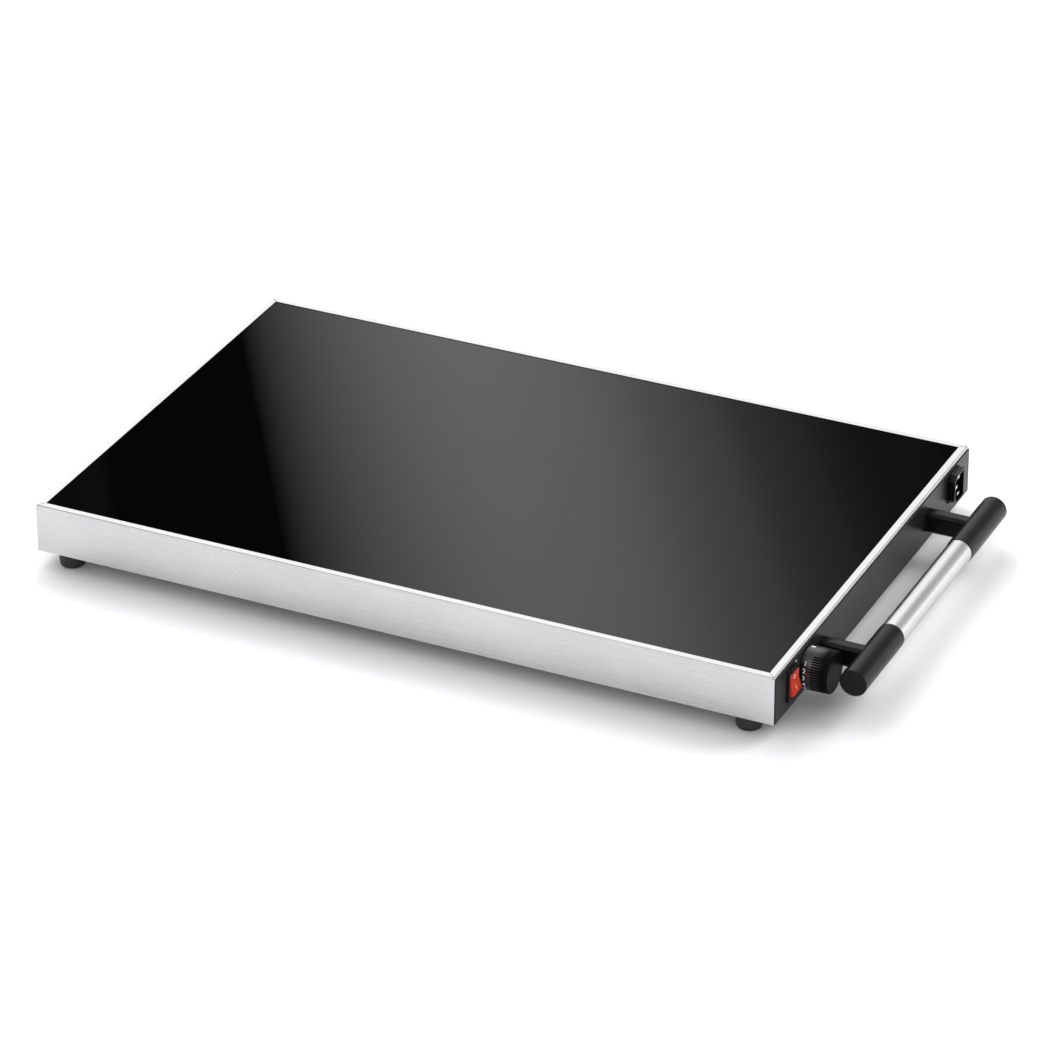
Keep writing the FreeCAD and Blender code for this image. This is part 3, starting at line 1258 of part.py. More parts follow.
def build():
    """Make every sub-part."""
    fill_sheets()
    make_casing()
    make_base_plate()
    make_base_screws()
    make_end_panel()
    for side, end in FEET:
        make_foot(side, end)
    make_foot_screws()
    make_glass()
    make_seal()
    make_inner_frame()
    make_spreader()
    make_element()
    for word, x in zip(("left", "middle", "right"), clamp_places()):
        make_clamp_bar("clamp_bar_" + word, x)
    make_clamp_screws()
    make_mat()
    make_shield()
    make_knob()
    make_thermostat()
    make_spindle()
    make_bulb()
    make_switch_housing()
    make_rocker()
    make_contact()
    make_switch_inside()
    make_inlet_housing()
    make_inlet_pins()
    make_inlet_retainer()
    make_handle()
    make_handle_fixings()
    make_leads()
    make_earth()


def check():
    """Stop if any object failed or any sub-part has no sound shape."""
    for item in doc.Objects:
        for word in item.State:
            if word in ("Invalid", "Error"):
                raise RuntimeError("%s is %s" % (item.Label, word))
    for piece in PIECES:
        if piece.Shape.isNull() or not piece.Shape.isValid() or not piece.Shape.Solids:
            raise RuntimeError("%s has no sound shape" % piece.Label)


def write():
    """Write one STEP file for each sub-part."""
    os.makedirs("parts", exist_ok=True)
    for piece in PIECES:
        piece.Shape.exportStep("parts/%s.step" % piece.Label)
    print("wrote", len(PIECES), "sub-parts")


build()
doc.recompute()
check()
write()
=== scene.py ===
"""Electric food warmer tray: finishes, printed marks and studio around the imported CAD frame."""

import json
import logging
import math
from dataclasses import dataclass
from enum import Enum

import bmesh
import bpy
from mathutils import Matrix, Vector


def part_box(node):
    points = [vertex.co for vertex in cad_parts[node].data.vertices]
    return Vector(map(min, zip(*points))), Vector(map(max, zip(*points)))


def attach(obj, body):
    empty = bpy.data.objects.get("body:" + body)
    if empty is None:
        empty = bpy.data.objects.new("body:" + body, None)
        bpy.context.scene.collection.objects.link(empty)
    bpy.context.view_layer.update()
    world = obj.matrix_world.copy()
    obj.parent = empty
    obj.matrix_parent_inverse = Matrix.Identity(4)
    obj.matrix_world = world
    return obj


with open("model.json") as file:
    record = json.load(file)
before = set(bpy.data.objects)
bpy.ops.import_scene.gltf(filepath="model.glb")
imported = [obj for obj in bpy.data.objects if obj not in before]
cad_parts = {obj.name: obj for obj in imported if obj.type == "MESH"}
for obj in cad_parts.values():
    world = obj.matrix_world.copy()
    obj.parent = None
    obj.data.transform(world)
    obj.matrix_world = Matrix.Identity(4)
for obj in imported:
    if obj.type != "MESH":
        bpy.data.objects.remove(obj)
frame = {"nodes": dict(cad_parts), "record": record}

LOG = logging.getLogger("food_warmer_tray")
MM = 0.001
# Where smooth noise mostly lies.
NOISE_SPAN = (0.3, 0.7)

Span = tuple[float, float]
Triple = tuple[float, float, float]
Levels = tuple[tuple[float, float], ...]
Stops = tuple[tuple[float, Triple], ...]
Socket = bpy.types.NodeSocket
Given = Socket | float | Vector | tuple[float, ...]


class Grain(Enum):
    """The fine structure of a surface.

    The last three are made alike, and differ by the pitch and relief that their finishes give.
    """

    BRUSHED = "long scratches along the sheet"
    FIBROUS = "matted fibres"
    MOULDED = "fine pits of a moulded or painted skin"
    POLISHED = "almost smooth"
    CAST = "coarse cloudy skin of plain metal"


@dataclass(frozen=True)
class Finish:
    """How one material slot looks.

    Args:
        slot: the record's material slot.
        colour: linear red, green and blue.
        grain: the fine structure.
        roughness: the mean roughness.
        metallic: 1 for bare metal, 0 for the rest.
        pitch: the size of the grain, in metres.
        relief: the height of the grain, in metres.
        spread: how far the colour wanders, as a share of itself.
        clear: the share of light let through.
        gloss: the strength of plain reflections, 0.5 for common plastics and glass.
    """

    slot: str
    colour: Triple
    grain: Grain
    roughness: float
    metallic: float = 0.0
    pitch: float = 0.0006
    relief: float = 0.00001
    spread: float = 0.06
    clear: float = 0.0
    gloss: float = 0.5


STEELS: tuple[Finish, ...] = (
    Finish(
        "brushed_steel", (0.60, 0.60, 0.602), Grain.BRUSHED, roughness=0.27, metallic=1.0,
        pitch=0.0003, relief=0.0000032, spread=0.10,
    ),
    Finish(
        "plated_steel", (0.60, 0.61, 0.60), Grain.CAST, roughness=0.26, metallic=1.0,
        pitch=0.0015, relief=0.000005, spread=0.10,
    ),
    Finish(
        "sheet_steel", (0.48, 0.49, 0.50), Grain.CAST, roughness=0.42, metallic=1.0,
        pitch=0.006, relief=0.000006, spread=0.14,
    ),
)

OTHER_METALS: tuple[Finish, ...] = (
    Finish(
        "aluminium", (0.76, 0.77, 0.78), Grain.BRUSHED, roughness=0.36, metallic=1.0,
        pitch=0.0004, relief=0.000002, spread=0.05,
    ),
    Finish(
        "element_sheath", (0.16, 0.145, 0.135), Grain.CAST, roughness=0.50, metallic=1.0,
        pitch=0.003, spread=0.25,
    ),
    Finish(
        "brass", (0.72, 0.50, 0.20), Grain.CAST, roughness=0.30, metallic=1.0,
        pitch=0.0015, relief=0.000004, spread=0.10,
    ),
)

GLASSES: tuple[Finish, ...] = (
    Finish(
        "black_glass", (0.0012, 0.0012, 0.0014), Grain.POLISHED, roughness=0.05,
        pitch=0.03, relief=0.000001, spread=0.10,
    ),
    Finish(
        "lamp_glass", (0.95, 0.50, 0.22), Grain.POLISHED, roughness=0.06,
        pitch=0.003, relief=0.000002, spread=0.05, clear=0.7,
    ),
)

PLASTICS: tuple[Finish, ...] = (
    Finish(
        "panel_black", (0.014, 0.0132, 0.0142), Grain.MOULDED, roughness=0.36,
        pitch=0.0007, relief=0.000012, spread=0.12, gloss=0.26,
    ),
    Finish(
        "black_plastic", (0.005, 0.005, 0.0055), Grain.MOULDED, roughness=0.28,
        pitch=0.0005, relief=0.000005, spread=0.10, gloss=0.20,
    ),
    Finish(
        "red_plastic", (0.68, 0.058, 0.034), Grain.POLISHED, roughness=0.14,
        pitch=0.003, relief=0.000008, spread=0.18, clear=0.15,
    ),
    Finish(
        "white_print", (0.80, 0.80, 0.80), Grain.MOULDED, roughness=0.50,
        pitch=0.0004, relief=0.000002, spread=0.05,
    ),
)

SOFT_ONES: tuple[Finish, ...] = (
    Finish("rubber", (0.014, 0.014, 0.014), Grain.MOULDED, roughness=0.62, relief=0.00002, spread=0.15),
    Finish("silicone", (0.35, 0.06, 0.04), Grain.MOULDED, roughness=0.55, pitch=0.0008),
    Finish(
        "fibre", (0.74, 0.71, 0.62), Grain.FIBROUS, roughness=0.95,
        pitch=0.002, relief=0.0003, spread=0.18,
    ),
)

LEADS: tuple[Finish, ...] = tuple(
    Finish(slot, colour, Grain.MOULDED, roughness=0.40, pitch=0.0008, relief=0.000008)
    for slot, colour in (
        ("brown_lead", (0.12, 0.045, 0.02)),
        ("blue_lead", (0.02, 0.08, 0.35)),
        ("red_lead", (0.40, 0.02, 0.02)),
        ("earth_lead", (0.14, 0.35, 0.03)),
    )
)

FINISHES = STEELS + OTHER_METALS + GLASSES + PLASTICS + SOFT_ONES + LEADS


def joint_place(name: str) -> Vector:
    """Where a joint's axis runs.

    Args:
        name: the joint's name.

    Returns:
        A point of the axis, in metres.
    """
    for joint in frame["record"]["behaviour"]["joints"]:
        if joint["name"] == name:
            return Vector(joint["pos_m"])
    raise KeyError(name)


def greys(levels: Levels) -> Stops:
    """Stops without a tint."""
    return tuple((place, (level, level, level)) for place, level in levels)


def rectangle(name: str, length: float, width: float) -> bpy.types.Mesh:
    """A flat rectangle about its own middle.

    Args:
        name: the mesh's name.
        length: its side along X, in metres.
        width: its side along Y, in metres.

    Returns:
        The mesh.
    """
    x, y = length / 2, width / 2
    mesh = bpy.data.meshes.new(name)
    mesh.from_pydata([(-x, -y, 0), (x, -y, 0), (x, y, 0), (-x, y, 0)], [], [(0, 1, 2, 3)])
    return mesh


def put(name: str, data: bpy.types.ID) -> bpy.types.Object:
    """Put a mesh, curve, light or camera into the scene.

    Args:
        name: the object's name.
        data: what it holds.

    Returns:
        The object.
    """
    holder = bpy.data.objects.new(name, data)
    bpy.context.collection.objects.link(holder)
    return holder


class Nodes:
    """A node tree, built step by step.

    Args:
        tree: the tree.
    """

    def __init__(self, tree: bpy.types.NodeTree) -> None:
        """Keep the tree."""
        self.tree = tree

    def link(self, source: Socket, target: Socket) -> None:
        """Join an output to an input."""
        self.tree.links.new(source, target)

    def add(self, kind: str, *inputs: Given, **settings: object) -> bpy.types.Node:
        """Add a node, set its properties and fill its first inputs.

        Args:
            kind: the node's type.
            inputs: for each input in turn, the output to join to it or its value.
            settings: property names and values.

        Returns:
            The new node.
        """
        node = self.tree.nodes.new(kind)
        for key, value in settings.items():
            setattr(node, key, value)
        for target, given in zip(node.inputs, inputs):
            if isinstance(given, Socket):
                self.link(given, target)
            else:
                target.default_value = given
        return node

    def number(self, operation: str, *inputs: Given) -> Socket:
        """Work out a number from numbers."""
        return self.add("ShaderNodeMath", *inputs, operation=operation).outputs["Value"]

    def ranged(self, value: Socket, source: Span, target: Span = (0.0, 1.0)) -> Socket:
        """Carry a value from one span to another, and hold it at the ends."""
        return self.add("ShaderNodeMapRange", value, *source, *target).outputs["Result"]

    def ramp(self, value: Socket, stops: Stops, interpolation: str = "LINEAR") -> Socket:
        """Turn a number into a colour.

        Args:
            value: the number, from 0 to 1.
            stops: places and colours, in order.
            interpolation: how one colour runs into the next.

        Returns:
            The colour.
        """
        node = self.add("ShaderNodeValToRGB", value)
        node.color_ramp.interpolation = interpolation
        made = node.color_ramp.elements
        first, *middle, last = stops
        for stop, (place, colour) in zip(made, (first, last)):
            stop.position = place
            stop.color = (*colour, 1)
        for place, colour in middle:
            made.new(place).color = (*colour, 1)
        return node.outputs["Color"]


class Shader(Nodes):
    """The node tree of a material.

    Args:
        name: the material's name.
    """

    def __init__(self, name: str) -> None:
        """Make the material.

        Args:
            name: its name.
        """
        self.material = bpy.data.materials.new(name)
        self.material.use_nodes = True
        super().__init__(self.material.node_tree)
        self.surface = self.tree.nodes["Principled BSDF"]
        self.where = self.add("ShaderNodeTexCoord")

    def noise(self, scale: float, detail: float, stretch: Triple = (1, 1, 1)) -> Socket:
        """Smooth random values near 0.5, fixed to the object.

        Args:
            scale: cycles in a metre.
            detail: octaves.
            stretch: what the scale is multiplied by along X, Y and Z.

        Returns:
            The values.
        """
        mapping = self.add("ShaderNodeMapping", self.where.outputs["Object"])
        mapping.inputs["Scale"].default_value = stretch
        node = self.add("ShaderNodeTexNoise", mapping.outputs["Vector"])
        node.inputs["Scale"].default_value = scale
        node.inputs["Detail"].default_value = detail
        return node.outputs["Fac"]

    def tint(self, value: Socket, colour: Triple, spread: float) -> None:
        """Let the base colour wander with noise.

        Args:
            value: the noise.
            colour: the mean colour.
            spread: the largest share that it changes by.
        """
        mix = self.add("ShaderNodeMix", self.ranged(value, NOISE_SPAN), data_type="RGBA")
        shares = {"A": 1 - spread, "B": 1 + spread}
        for socket in mix.inputs:
            if socket.type == "RGBA":
                share = shares[socket.name]
                socket.default_value = (*[min(1, part * share) for part in colour], 1)
        output = next(socket for socket in mix.outputs if socket.type == "RGBA")
        self.link(output, self.surface.inputs["Base Color"])

    def bump(self, value: Socket, height: float) -> None:
        """Raise the surface by a value.

        Args:
            value: the value that steers it.
            height: the height in metres.
        """
        node = self.add("ShaderNodeBump")
        node.inputs["Distance"].default_value = height
        self.link(value, node.inputs["Height"])
        self.link(node.outputs["Normal"], self.surface.inputs["Normal"])

    def steer_gloss(self, level: Socket) -> None:
        """Let the strength of plain reflections follow a level."""
        self.link(level, self.surface.inputs["Specular IOR Level"])


@dataclass(frozen=True)
class GlassSheen:
    """A painted reflection: a broad soft band of stronger gloss, laid on the glass by place in lieu of the
    studio light's sheen, that leans across it and fades towards both ends.

    Args:
        lean: the direction that it changes along.
        span: where it starts and ends along that direction, in metres from the tray's middle.
        levels: the strength of the painted reflections, by share of the span.
    """

    lean: Triple = (0.83, 0.55, 0.0)
    span: Span = (-0.37, 0.33)
    levels: Levels = (
        (0.05, 0.002),
        (0.26, 0.009),
        (0.45, 0.235),
        (0.58, 0.22),
        (0.66, 0.123),
        (0.75, 0.045),
        (0.84, 0.011),
        (0.97, 0.002),
    )

    def add_to(self, shader: Shader) -> None:
        """Paint the band of reflection into the glass's gloss.

        Args:
            shader: the glass.
        """
        place = shader.where.outputs["Object"]
        along = shader.add("ShaderNodeVectorMath", place, self.lean, operation="DOT_PRODUCT")
        share = shader.ranged(along.outputs["Value"], self.span)
        # Painted reflection: the glass's gloss follows its place, not the light.
        shader.steer_gloss(shader.ramp(share, greys(self.levels), "CARDINAL"))


@dataclass(frozen=True)
class SkirtGloss:
    """Painted highlights on the ribs' crests and painted shade in the grooves of the knob's skirt, laid in
    as strong and weak gloss by distance from the axis, and an even gloss on all other black plastic.

    Args:
        span: the distances from the knob's axis between which the gloss changes.
        levels: the strength of reflections, by distance from the axis in metres.
        margin: how far past the knob's face its own gloss reaches.
    """

    span: Span = (16 * MM, 17 * MM)
    levels: Levels = (
        (16.1 * MM, 0.02),
        (16.26 * MM, 0.8),
        (16.36 * MM, 0.8),
        (16.5 * MM, 0.15),
    )
    margin: float = 0.5 * MM

    def add_to(self, shader: Shader) -> None:
        """Paint the crests' highlights and the grooves' shade into the black plastic's gloss.

        Args:
            shader: the black plastic.
        """
        place = shader.where.outputs["Object"]
        offset = shader.add("ShaderNodeVectorMath", place, joint_place("knob_turn"), operation="SUBTRACT")
        flat = shader.add("ShaderNodeVectorMath", offset.outputs["Vector"], (0, 1, 1), operation="MULTIPLY")
        reach = shader.add("ShaderNodeVectorMath", flat.outputs["Vector"], operation="LENGTH")
        split = shader.add("ShaderNodeSeparateXYZ", place)
        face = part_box("knob")[1].x + self.margin
        beyond = shader.number("GREATER_THAN", split.outputs["X"], face)
        # Past the knob's face the distance grows by a metre, so nothing there counts as a rib.
        far = shader.number("ADD", reach.outputs["Value"], beyond)
        start, end = self.span
        shares = tuple(((distance - start) / (end - start), level) for distance, level in self.levels)
        # Painted highlight on the crests and painted shade in the grooves: the gloss follows the distance
        # from the knob's axis.
        shader.steer_gloss(shader.ramp(shader.ranged(far, self.span), greys(shares)))


# Painted light: the glass's band of reflection, and the highlights and shade on the knob's ribs.
PAINTED_GLOSSES = {"black_glass": GlassSheen(), "black_plastic": SkirtGloss()}


@dataclass(frozen=True)
class Scratches:
    """Long fine scratches that follow the folded sheet: along X, and upright on the end walls.

    Args:
        slimness: a scratch's length as a multiple of its width.
        end_wall: how squarely a face looks along X, from 0 to 1, before it counts as an end wall.
        detail: octaves of the noise.
    """

    slimness: float = 160
    end_wall: float = 0.72
    detail: float = 3.0

    def add_to(self, shader: Shader, pitch: float) -> Socket:
        """Make the pattern.

        Args:
            shader: the material.
            pitch: the width of a scratch in metres.

        Returns:
            The pattern.
        """
        across = 1 / pitch
        along = across / self.slimness
        flat = shader.noise(1.0, self.detail, (along, across, across))
        upright = shader.noise(1.0, self.detail, (along, across, along))
        facing = shader.add("ShaderNodeSeparateXYZ", shader.where.outputs["Normal"])
        size = shader.number("ABSOLUTE", facing.outputs["X"])
        mix = shader.add("ShaderNodeMix", shader.number("GREATER_THAN", size, self.end_wall))
        shader.link(flat, mix.inputs["A"])
        shader.link(upright, mix.inputs["B"])
        return mix.outputs["Result"]


@dataclass(frozen=True)
class Texture:
    """What the finishes' clouds and grains have in common.

    Args:
        cloud_scale: clouds in a metre.
        cloud_detail: octaves of the clouds.
        cloud_share: the clouds' share in colour and roughness, the rest being the grain's.
        skin_detail: octaves of a smooth, moulded or cast skin.
        fibre_detail: octaves of the fibres.
        fibre_scale: the scale of the fibres, for a pitch of one metre.
        fibre_stretch: how much finer the fibres are along X, Y and Z.
        least_rough: the lowest roughness, as a share of the mean.
        most_rough: the highest.
    """

    cloud_scale: float = 14.0
    cloud_detail: float = 3.0
    cloud_share: float = 0.5
    skin_detail: float = 4.0
    fibre_detail: float = 9.0
    fibre_scale: float = 0.3
    fibre_stretch: Triple = (1, 3, 9)
    least_rough: float = 0.85
    most_rough: float = 1.15


class FinishShop:
    """Makes each finish once and hands it out by slot."""

    def __init__(self) -> None:
        """Make every finish."""
        self.texture = Texture()
        self.made: dict[str, bpy.types.Material] = {finish.slot: self.make(finish) for finish in FINISHES}

    def make(self, finish: Finish) -> bpy.types.Material:
        """Build the material of a finish.

        Args:
            finish: the finish.

        Returns:
            The material.
        """
        look = self.texture
        shader = Shader(finish.slot)
        surface = shader.surface
        surface.inputs["Metallic"].default_value = finish.metallic
        surface.inputs["Transmission Weight"].default_value = finish.clear
        surface.inputs["Specular IOR Level"].default_value = finish.gloss
        cloud = shader.noise(look.cloud_scale, look.cloud_detail)
        fine = self.grain(shader, finish)
        rest = shader.number("MULTIPLY", fine, 1 - look.cloud_share)
        both = shader.number("MULTIPLY_ADD", cloud, look.cloud_share, rest)
        shader.tint(both, finish.colour, finish.spread)
        rough = (finish.roughness * look.least_rough, finish.roughness * look.most_rough)
        shader.link(shader.ranged(both, NOISE_SPAN, rough), surface.inputs["Roughness"])
        shader.bump(fine, finish.relief)
        # Lay in the painted reflection or the painted rib highlights and shade, where the slot has them.
        if finish.slot in PAINTED_GLOSSES:
            PAINTED_GLOSSES[finish.slot].add_to(shader)
        return shader.material

    def grain(self, shader: Shader, finish: Finish) -> Socket:
        """The fine structure of a finish.

        Args:
            shader: its material.
            finish: the finish.

        Returns:
            The pattern.
        """
        look = self.texture
        if finish.grain is Grain.BRUSHED:
            return Scratches().add_to(shader, finish.pitch)
        if finish.grain is Grain.FIBROUS:
            return shader.noise(look.fibre_scale / finish.pitch, look.fibre_detail, look.fibre_stretch)
        return shader.noise(1 / finish.pitch, look.skin_detail)

    def dress(self, node: str, slot: str) -> None:
        """Give a CAD node its finish.

        Args:
            node: the node's name.
            slot: the slot of its finish.
        """
        piece = frame["nodes"][node]
        piece.data.materials.clear()
        piece.data.materials.append(self.made[slot])
        LOG.info("dressed %s in %s", node, slot)


@dataclass(frozen=True)
class Printer:
    """Turns marks into thin flat meshes and prints them in white.

    Args:
        shop: where the white print comes from.
        capital: the height of a character, as a share of the font's size.
        bold: how much thicker its strokes are made, as a share of its height.
    """

    shop: FinishShop
    capital: float = 0.72
    bold: float = 0.03

    def character(self, text: str, height: float) -> bpy.types.Mesh:
        """A character as a flat mesh about its own middle, up along Y.

        Args:
            text: the character.
            height: its height in metres.

        Returns:
            The mesh.
        """
        curve = bpy.data.curves.new("mark_curve", "FONT")
        curve.body = text
        curve.size = height / self.capital
        curve.align_x = "CENTER"
        curve.align_y = "CENTER"
        curve.offset = height * self.bold
        holder = put("mark_holder", curve)
        bpy.context.view_layer.update()
        shaped = holder.evaluated_get(bpy.context.evaluated_depsgraph_get())
        mesh = bpy.data.meshes.new_from_object(shaped)
        bpy.data.objects.remove(holder)
        bpy.data.curves.remove(curve)
        return self.refine(mesh)

    def bar(self, size: Span) -> bpy.types.Mesh:
        """A plain bar of some length along X and width along Y."""
        return self.refine(rectangle("mark_bar", *size))

    @staticmethod
    def refine(mesh: bpy.types.Mesh) -> bpy.types.Mesh:
        """Cut a flat mesh finely enough to be bent.

        Args:
            mesh: the mesh.

        Returns:
            The same mesh.
        """
        work = bmesh.new()
        work.from_mesh(mesh)
        bmesh.ops.triangulate(work, faces=work.faces[:])
        bmesh.ops.subdivide_edges(work, edges=work.edges[:], cuts=1, use_grid_fill=True)
        work.to_mesh(mesh)
        work.free()
        return mesh

    def place(self, mesh: bpy.types.Mesh, name: str, body: str) -> None:
        """Put a finished mesh into the scene and let it ride a body.

        Args:
            mesh: the mesh, in the frame's own coordinates.
            name: the piece's name.
            body: the body that it rides.
        """
        piece = put(name, mesh)
        mesh.materials.clear()
        mesh.materials.append(self.shop.made["white_print"])
        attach(piece, body)
        LOG.info("printed %s on %s", name, body)


@dataclass
class SubAssembly:
    """CAD nodes that belong together.

    Args:
        shop: where the finishes come from.
        names: how the nodes' names begin.
    """

    shop: FinishShop
    names: tuple[str, ...] = ()

    def build(self) -> None:
        """Give each node the finish of its slot in the record."""
        for entry in frame["record"]["subparts"]:
            if entry["node"].startswith(self.names):
                self.shop.dress(entry["node"], entry["material_slot"])


@dataclass
class Casing(SubAssembly):
    """The folded casing with its base, end panel and feet."""

    names: tuple[str, ...] = ("casing", "base_", "end_panel", "foot_")


@dataclass
class HeatedTop(SubAssembly):
    """The glass with its seal, and the heater, frame and insulation under it."""

    names: tuple[str, ...] = ("glass_", "inner_", "heat_", "heating_", "element_", "clamp_", "insulation_")


@dataclass
class Inlet(SubAssembly):
    """The mains inlet."""

    names: tuple[str, ...] = ("inlet_",)


@dataclass
class Handle(SubAssembly):
    """The bar handle with its posts, rod and caps."""

    names: tuple[str, ...] = ("handle_",)


@dataclass
class Wiring(SubAssembly):
    """The leads inside and the earth's fixings."""

    names: tuple[str, ...] = ("live_", "neutral_", "switched_", "heater_", "earth_")


@dataclass
class Dial(SubAssembly):
    """The knob and its thermostat, with the printed numbers, the off block and the panel's pointer.

    Angles are degrees from the top towards the front, and sizes are metres.

    Args:
        highest: the last number.
        first_angle: the angle of the first number.
        step_angle: from a number to the next.
        off_angle: the angle of the off block.
        pointer_angle: the angle of the pointer.
        number_high: the height of a number.
        off_size: the off block's length and width.
        pointer_size: the pointer's length and width.
        band_out: from the end panel to the middle of the printed band.
        pointer_out: from the knob's axis to the pointer's middle.
        proud: how far print stands off what it is on.
    """

    names: tuple[str, ...] = ("knob", "thermostat_", "bulb_")
    highest: int = 5
    first_angle: float = 52.0
    step_angle: float = 19.5
    off_angle: float = -8.0
    pointer_angle: float = 54.0
    number_high: float = 3.4 * MM
    off_size: Span = (3.4 * MM, 1.6 * MM)
    pointer_size: Span = (2.6 * MM, 3.0 * MM)
    band_out: float = 4.0 * MM
    pointer_out: float = 25.6 * MM
    proud: float = 0.03 * MM

    def build(self) -> None:
        """Dress the knob and its thermostat, and print their marks."""
        super().build()
        printer = Printer(self.shop)
        for number in range(1, self.highest + 1):
            mesh = printer.character(str(number), self.number_high)
            self.wrap(mesh, self.first_angle + self.step_angle * (number - 1))
            printer.place(mesh, "knob_number_%d" % number, "knob")
        mesh = printer.bar(self.off_size)
        self.wrap(mesh, self.off_angle)
        printer.place(mesh, "knob_off_mark", "knob")
        mesh = printer.bar(self.pointer_size)
        self.lay(mesh)
        printer.place(mesh, "panel_pointer", "root")

    def wrap(self, mesh: bpy.types.Mesh, angle: float) -> None:
        """Bend a flat mesh round the knob, its right turned to +X.

        Args:
            mesh: the mesh.
            angle: the angle of its middle.
        """
        low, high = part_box("knob")
        axis = joint_place("knob_turn")
        radius = (high.z - low.z) / 2 + self.proud
        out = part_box("end_panel")[1].x + self.band_out
        for vertex in mesh.vertices:
            turn = math.radians(angle) - vertex.co.y / radius
            y = axis.y - radius * math.sin(turn)
            z = axis.z + radius * math.cos(turn)
            vertex.co = Vector((out + vertex.co.x, y, z))

    def lay(self, mesh: bpy.types.Mesh) -> None:
        """Lay the pointer flat on the end panel, pointing at the knob's axis.

        Args:
            mesh: the pointer.
        """
        axis = joint_place("knob_turn")
        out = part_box("end_panel")[1].x + self.proud
        lean = math.radians(self.pointer_angle)
        for vertex in mesh.vertices:
            reach = self.pointer_out + vertex.co.y
            side = vertex.co.x
            y = axis.y - reach * math.sin(lean) - side * math.cos(lean)
            z = axis.z + reach * math.cos(lean) - side * math.sin(lean)
            vertex.co = Vector((out, y, z))


@dataclass
class Switch(SubAssembly):
    """The rocker switch with its two marks.

    Args:
        marks: each mark's piece, character and height above the pivot in metres.
        mark_high: the height of a mark's character.
        lean: degrees that the rocker leans at rest.
        rise: from the pivot to the rocker's face at its ends.
        dip: how much lower its face is in the middle.
        half: from the rocker's middle to its end.
        proud: how far print stands off the rocker.
    """

    names: tuple[str, ...] = ("switch_",)
    marks: tuple[tuple[str, str, float], ...] = (
        ("rocker_mark_off", "O", 4.0 * MM),
        ("rocker_mark_on", "I", -4.4 * MM),
    )
    mark_high: float = 3.0 * MM
    lean: float = 10.0
    rise: float = 3.9 * MM
    dip: float = 1.0 * MM
    half: float = 8.2 * MM
    proud: float = 0.06 * MM

    def build(self) -> None:
        """Dress the switch and print on the rocker."""
        super().build()
        printer = Printer(self.shop)
        for name, text, height in self.marks:
            mesh = printer.character(text, self.mark_high)
            self.lay(mesh, height)
            printer.place(mesh, name, "rocker")

    def lay(self, mesh: bpy.types.Mesh, height: float) -> None:
        """Lay a flat mesh on the rocker's hollow face.

        Args:
            mesh: the mesh.
            height: how far its middle is above the pivot.
        """
        pivot = joint_place("rocker_tilt")
        lean = math.radians(self.lean)
        for vertex in mesh.vertices:
            above = height + vertex.co.y
            reach = self.rise - self.dip * (1 - abs(above) / self.half) + self.proud
            x = pivot.x + reach * math.cos(lean) - above * math.sin(lean)
            z = pivot.z + reach * math.sin(lean) + above * math.cos(lean)
            vertex.co = Vector((x, pivot.y + vertex.co.x, z))


@dataclass(frozen=True)
class Viewpoint:
    """Where the photograph was taken from.

    Args:
        place: the camera in the frame's own coordinates, in metres.
        azimuth: degrees from the front towards the handle end.
        elevation: degrees above the horizon.
        roll: degrees anticlockwise.
        lens: focal length in millimetres.
        sensor: the sensor's width in millimetres.
    """

    place: Triple = (1.43965, -3.0261, 1.8961)
    azimuth: float = 25.66
    elevation: float = 29.27
    roll: float = -0.43
    lens: float = 175.75
    sensor: float = 36.0

    def build(self) -> None:
        """Make the camera and look through it."""
        azimuth = math.radians(self.azimuth)
        elevation = math.radians(self.elevation)
        roll = math.radians(self.roll)
        level = math.cos(elevation)
        back = Vector((math.sin(azimuth) * level, -math.cos(azimuth) * level, math.sin(elevation)))
        right = Vector((math.cos(azimuth), math.sin(azimuth), 0))
        up = back.cross(right)
        side = right * math.cos(roll) + up * math.sin(roll)
        top = up * math.cos(roll) - right * math.sin(roll)
        data = bpy.data.cameras.new("camera")
        data.sensor_width = self.sensor
        data.lens = self.lens
        holder = put("camera", data)
        turn = Matrix((side, top, back)).transposed().to_4x4()
        holder.matrix_world = Matrix.Translation(Vector(self.place)) @ turn
        bpy.context.scene.camera = holder


@dataclass(frozen=True)
class Lamp:
    """A square soft light that faces the tray's middle and shows in no reflection.

    Args:
        name: its name.
        place: where it stands, in metres.
        size: its side in metres.
        power: its power in watts.
    """

    name: str
    place: Triple
    size: float
    power: float

    def build(self) -> None:
        """Hang the light."""
        data = bpy.data.lights.new(self.name, "AREA")
        data.energy = self.power
        data.size = self.size
        holder = put(self.name, data)
        holder.location = self.place
        holder.rotation_mode = "QUATERNION"
        holder.rotation_quaternion = (-Vector(self.place)).to_track_quat("-Z", "Y")
        holder.visible_glossy = False


@dataclass(frozen=True)
class Floor:
    """A plain pale floor.

    Args:
        side: its side in metres.
        colour: its colour.
        spread: how far the colour wanders, as a share of itself.
        roughness: its roughness.
        gloss: the strength of its reflections.
        cloud_scale: clouds in a metre.
        cloud_detail: octaves of the clouds.
    """

    side: float = 60.0
    colour: Triple = (0.86, 0.86, 0.87)
    spread: float = 0.01
    roughness: float = 0.9
    gloss: float = 0.1
    cloud_scale: float = 3.0
    cloud_detail: float = 2.0

    def build(self) -> None:
        """Lay the floor."""
        mesh = rectangle("floor", self.side, self.side)
        plane = put("floor", mesh)
        shader = Shader("floor")
        shader.surface.inputs["Roughness"].default_value = self.roughness
        shader.surface.inputs["Specular IOR Level"].default_value = self.gloss
        shader.tint(shader.noise(self.cloud_scale, self.cloud_detail), self.colour, self.spread)
        mesh.materials.append(shader.material)


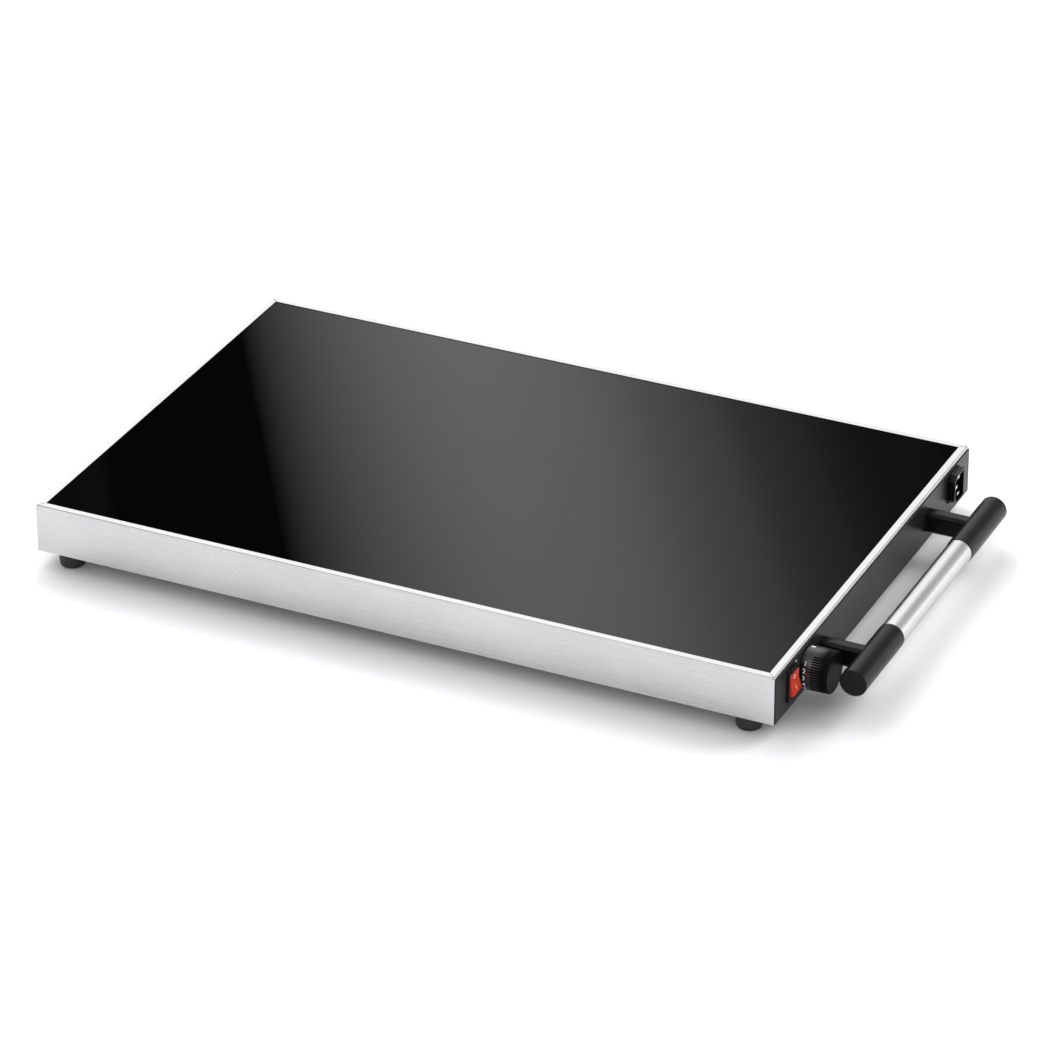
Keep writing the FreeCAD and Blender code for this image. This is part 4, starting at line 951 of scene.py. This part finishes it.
@dataclass(frozen=True)
class Surroundings:
    """White to the camera, an even sky for light, and a banded one for reflections.

    Args:
        seen: what the camera sees, as a colour.
        seen_strength: its strength.
        lit: the colour of the sky that lights the object.
        lit_strength: its strength.
        mirrored_strength: the strength of the sky that reflections show.
        lean: the direction that its bands change along.
        span: from where to where along that direction.
        bands: its levels, by share of the span.
        far_end: its last stop, which has a tint.
    """

    seen: tuple[float, ...] = (1, 1, 1, 1)
    seen_strength: float = 1.05
    lit: tuple[float, ...] = (0.98, 0.99, 1, 1)
    lit_strength: float = 0.66
    mirrored_strength: float = 1.75
    lean: Triple = (-0.6, 0.0, 0.8)
    span: Span = (-0.6, 1.0)
    bands: Levels = (
        (0.0, 1.0),
        (0.22, 1.0),
        (0.33, 0.5),
        (0.5, 0.34),
        (0.65, 0.4),
        (0.73, 1.0),
        (0.85, 0.9),
    )
    far_end: tuple[float, Triple] = (1.0, (0.2, 0.2, 0.21))

    def build(self) -> None:
        """Make the world."""
        world = bpy.data.worlds.new("studio")
        bpy.context.scene.world = world
        world.use_nodes = True
        world.node_tree.nodes.clear()
        nodes = Nodes(world.node_tree)
        where = nodes.add("ShaderNodeTexCoord").outputs["Generated"]
        along = nodes.add("ShaderNodeVectorMath", where, self.lean, operation="DOT_PRODUCT")
        share = nodes.ranged(along.outputs["Value"], self.span)
        sky = nodes.ramp(share, (*greys(self.bands), self.far_end))
        seen = nodes.add("ShaderNodeBackground", self.seen, self.seen_strength).outputs[0]
        lit = nodes.add("ShaderNodeBackground", self.lit, self.lit_strength).outputs[0]
        mirrored = nodes.add("ShaderNodeBackground", sky, self.mirrored_strength).outputs[0]
        path = nodes.add("ShaderNodeLightPath").outputs
        unseen = nodes.add("ShaderNodeMixShader", path["Is Glossy Ray"], lit, mirrored).outputs[0]
        every = nodes.add("ShaderNodeMixShader", path["Is Camera Ray"], unseen, seen).outputs[0]
        nodes.add("ShaderNodeOutputWorld", every)


@dataclass(frozen=True)
class Studio:
    """Floor, lights, surroundings and camera.

    Args:
        lamps: a large light behind on the left, a smaller one behind on the right, and a weak one in front.
    """

    lamps: tuple[Lamp, ...] = (
        Lamp("key_light", (-1.5, 1.05, 1.85), size=2.4, power=70.0),
        Lamp("side_light", (1.5, 1.3, 1.6), size=1.3, power=34.0),
        Lamp("front_light", (1.6, -2.4, 1.6), size=1.6, power=7.0),
    )

    def build(self) -> None:
        """Set up everything that isn't part of the object."""
        for thing in (Floor(), *self.lamps, Surroundings(), Viewpoint()):
            thing.build()
        bpy.context.scene.view_settings.view_transform = "Standard"


def main() -> None:
    """Dress the frame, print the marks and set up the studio."""
    logging.basicConfig(level=logging.INFO, format="%(message)s")
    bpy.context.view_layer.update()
    shop = FinishShop()
    for kind in (Casing, HeatedTop, Inlet, Handle, Wiring, Dial, Switch):
        LOG.info("sub-assembly %s", kind.__name__)
        kind(shop).build()
    Studio().build()


if __name__ == "__main__":
    main()
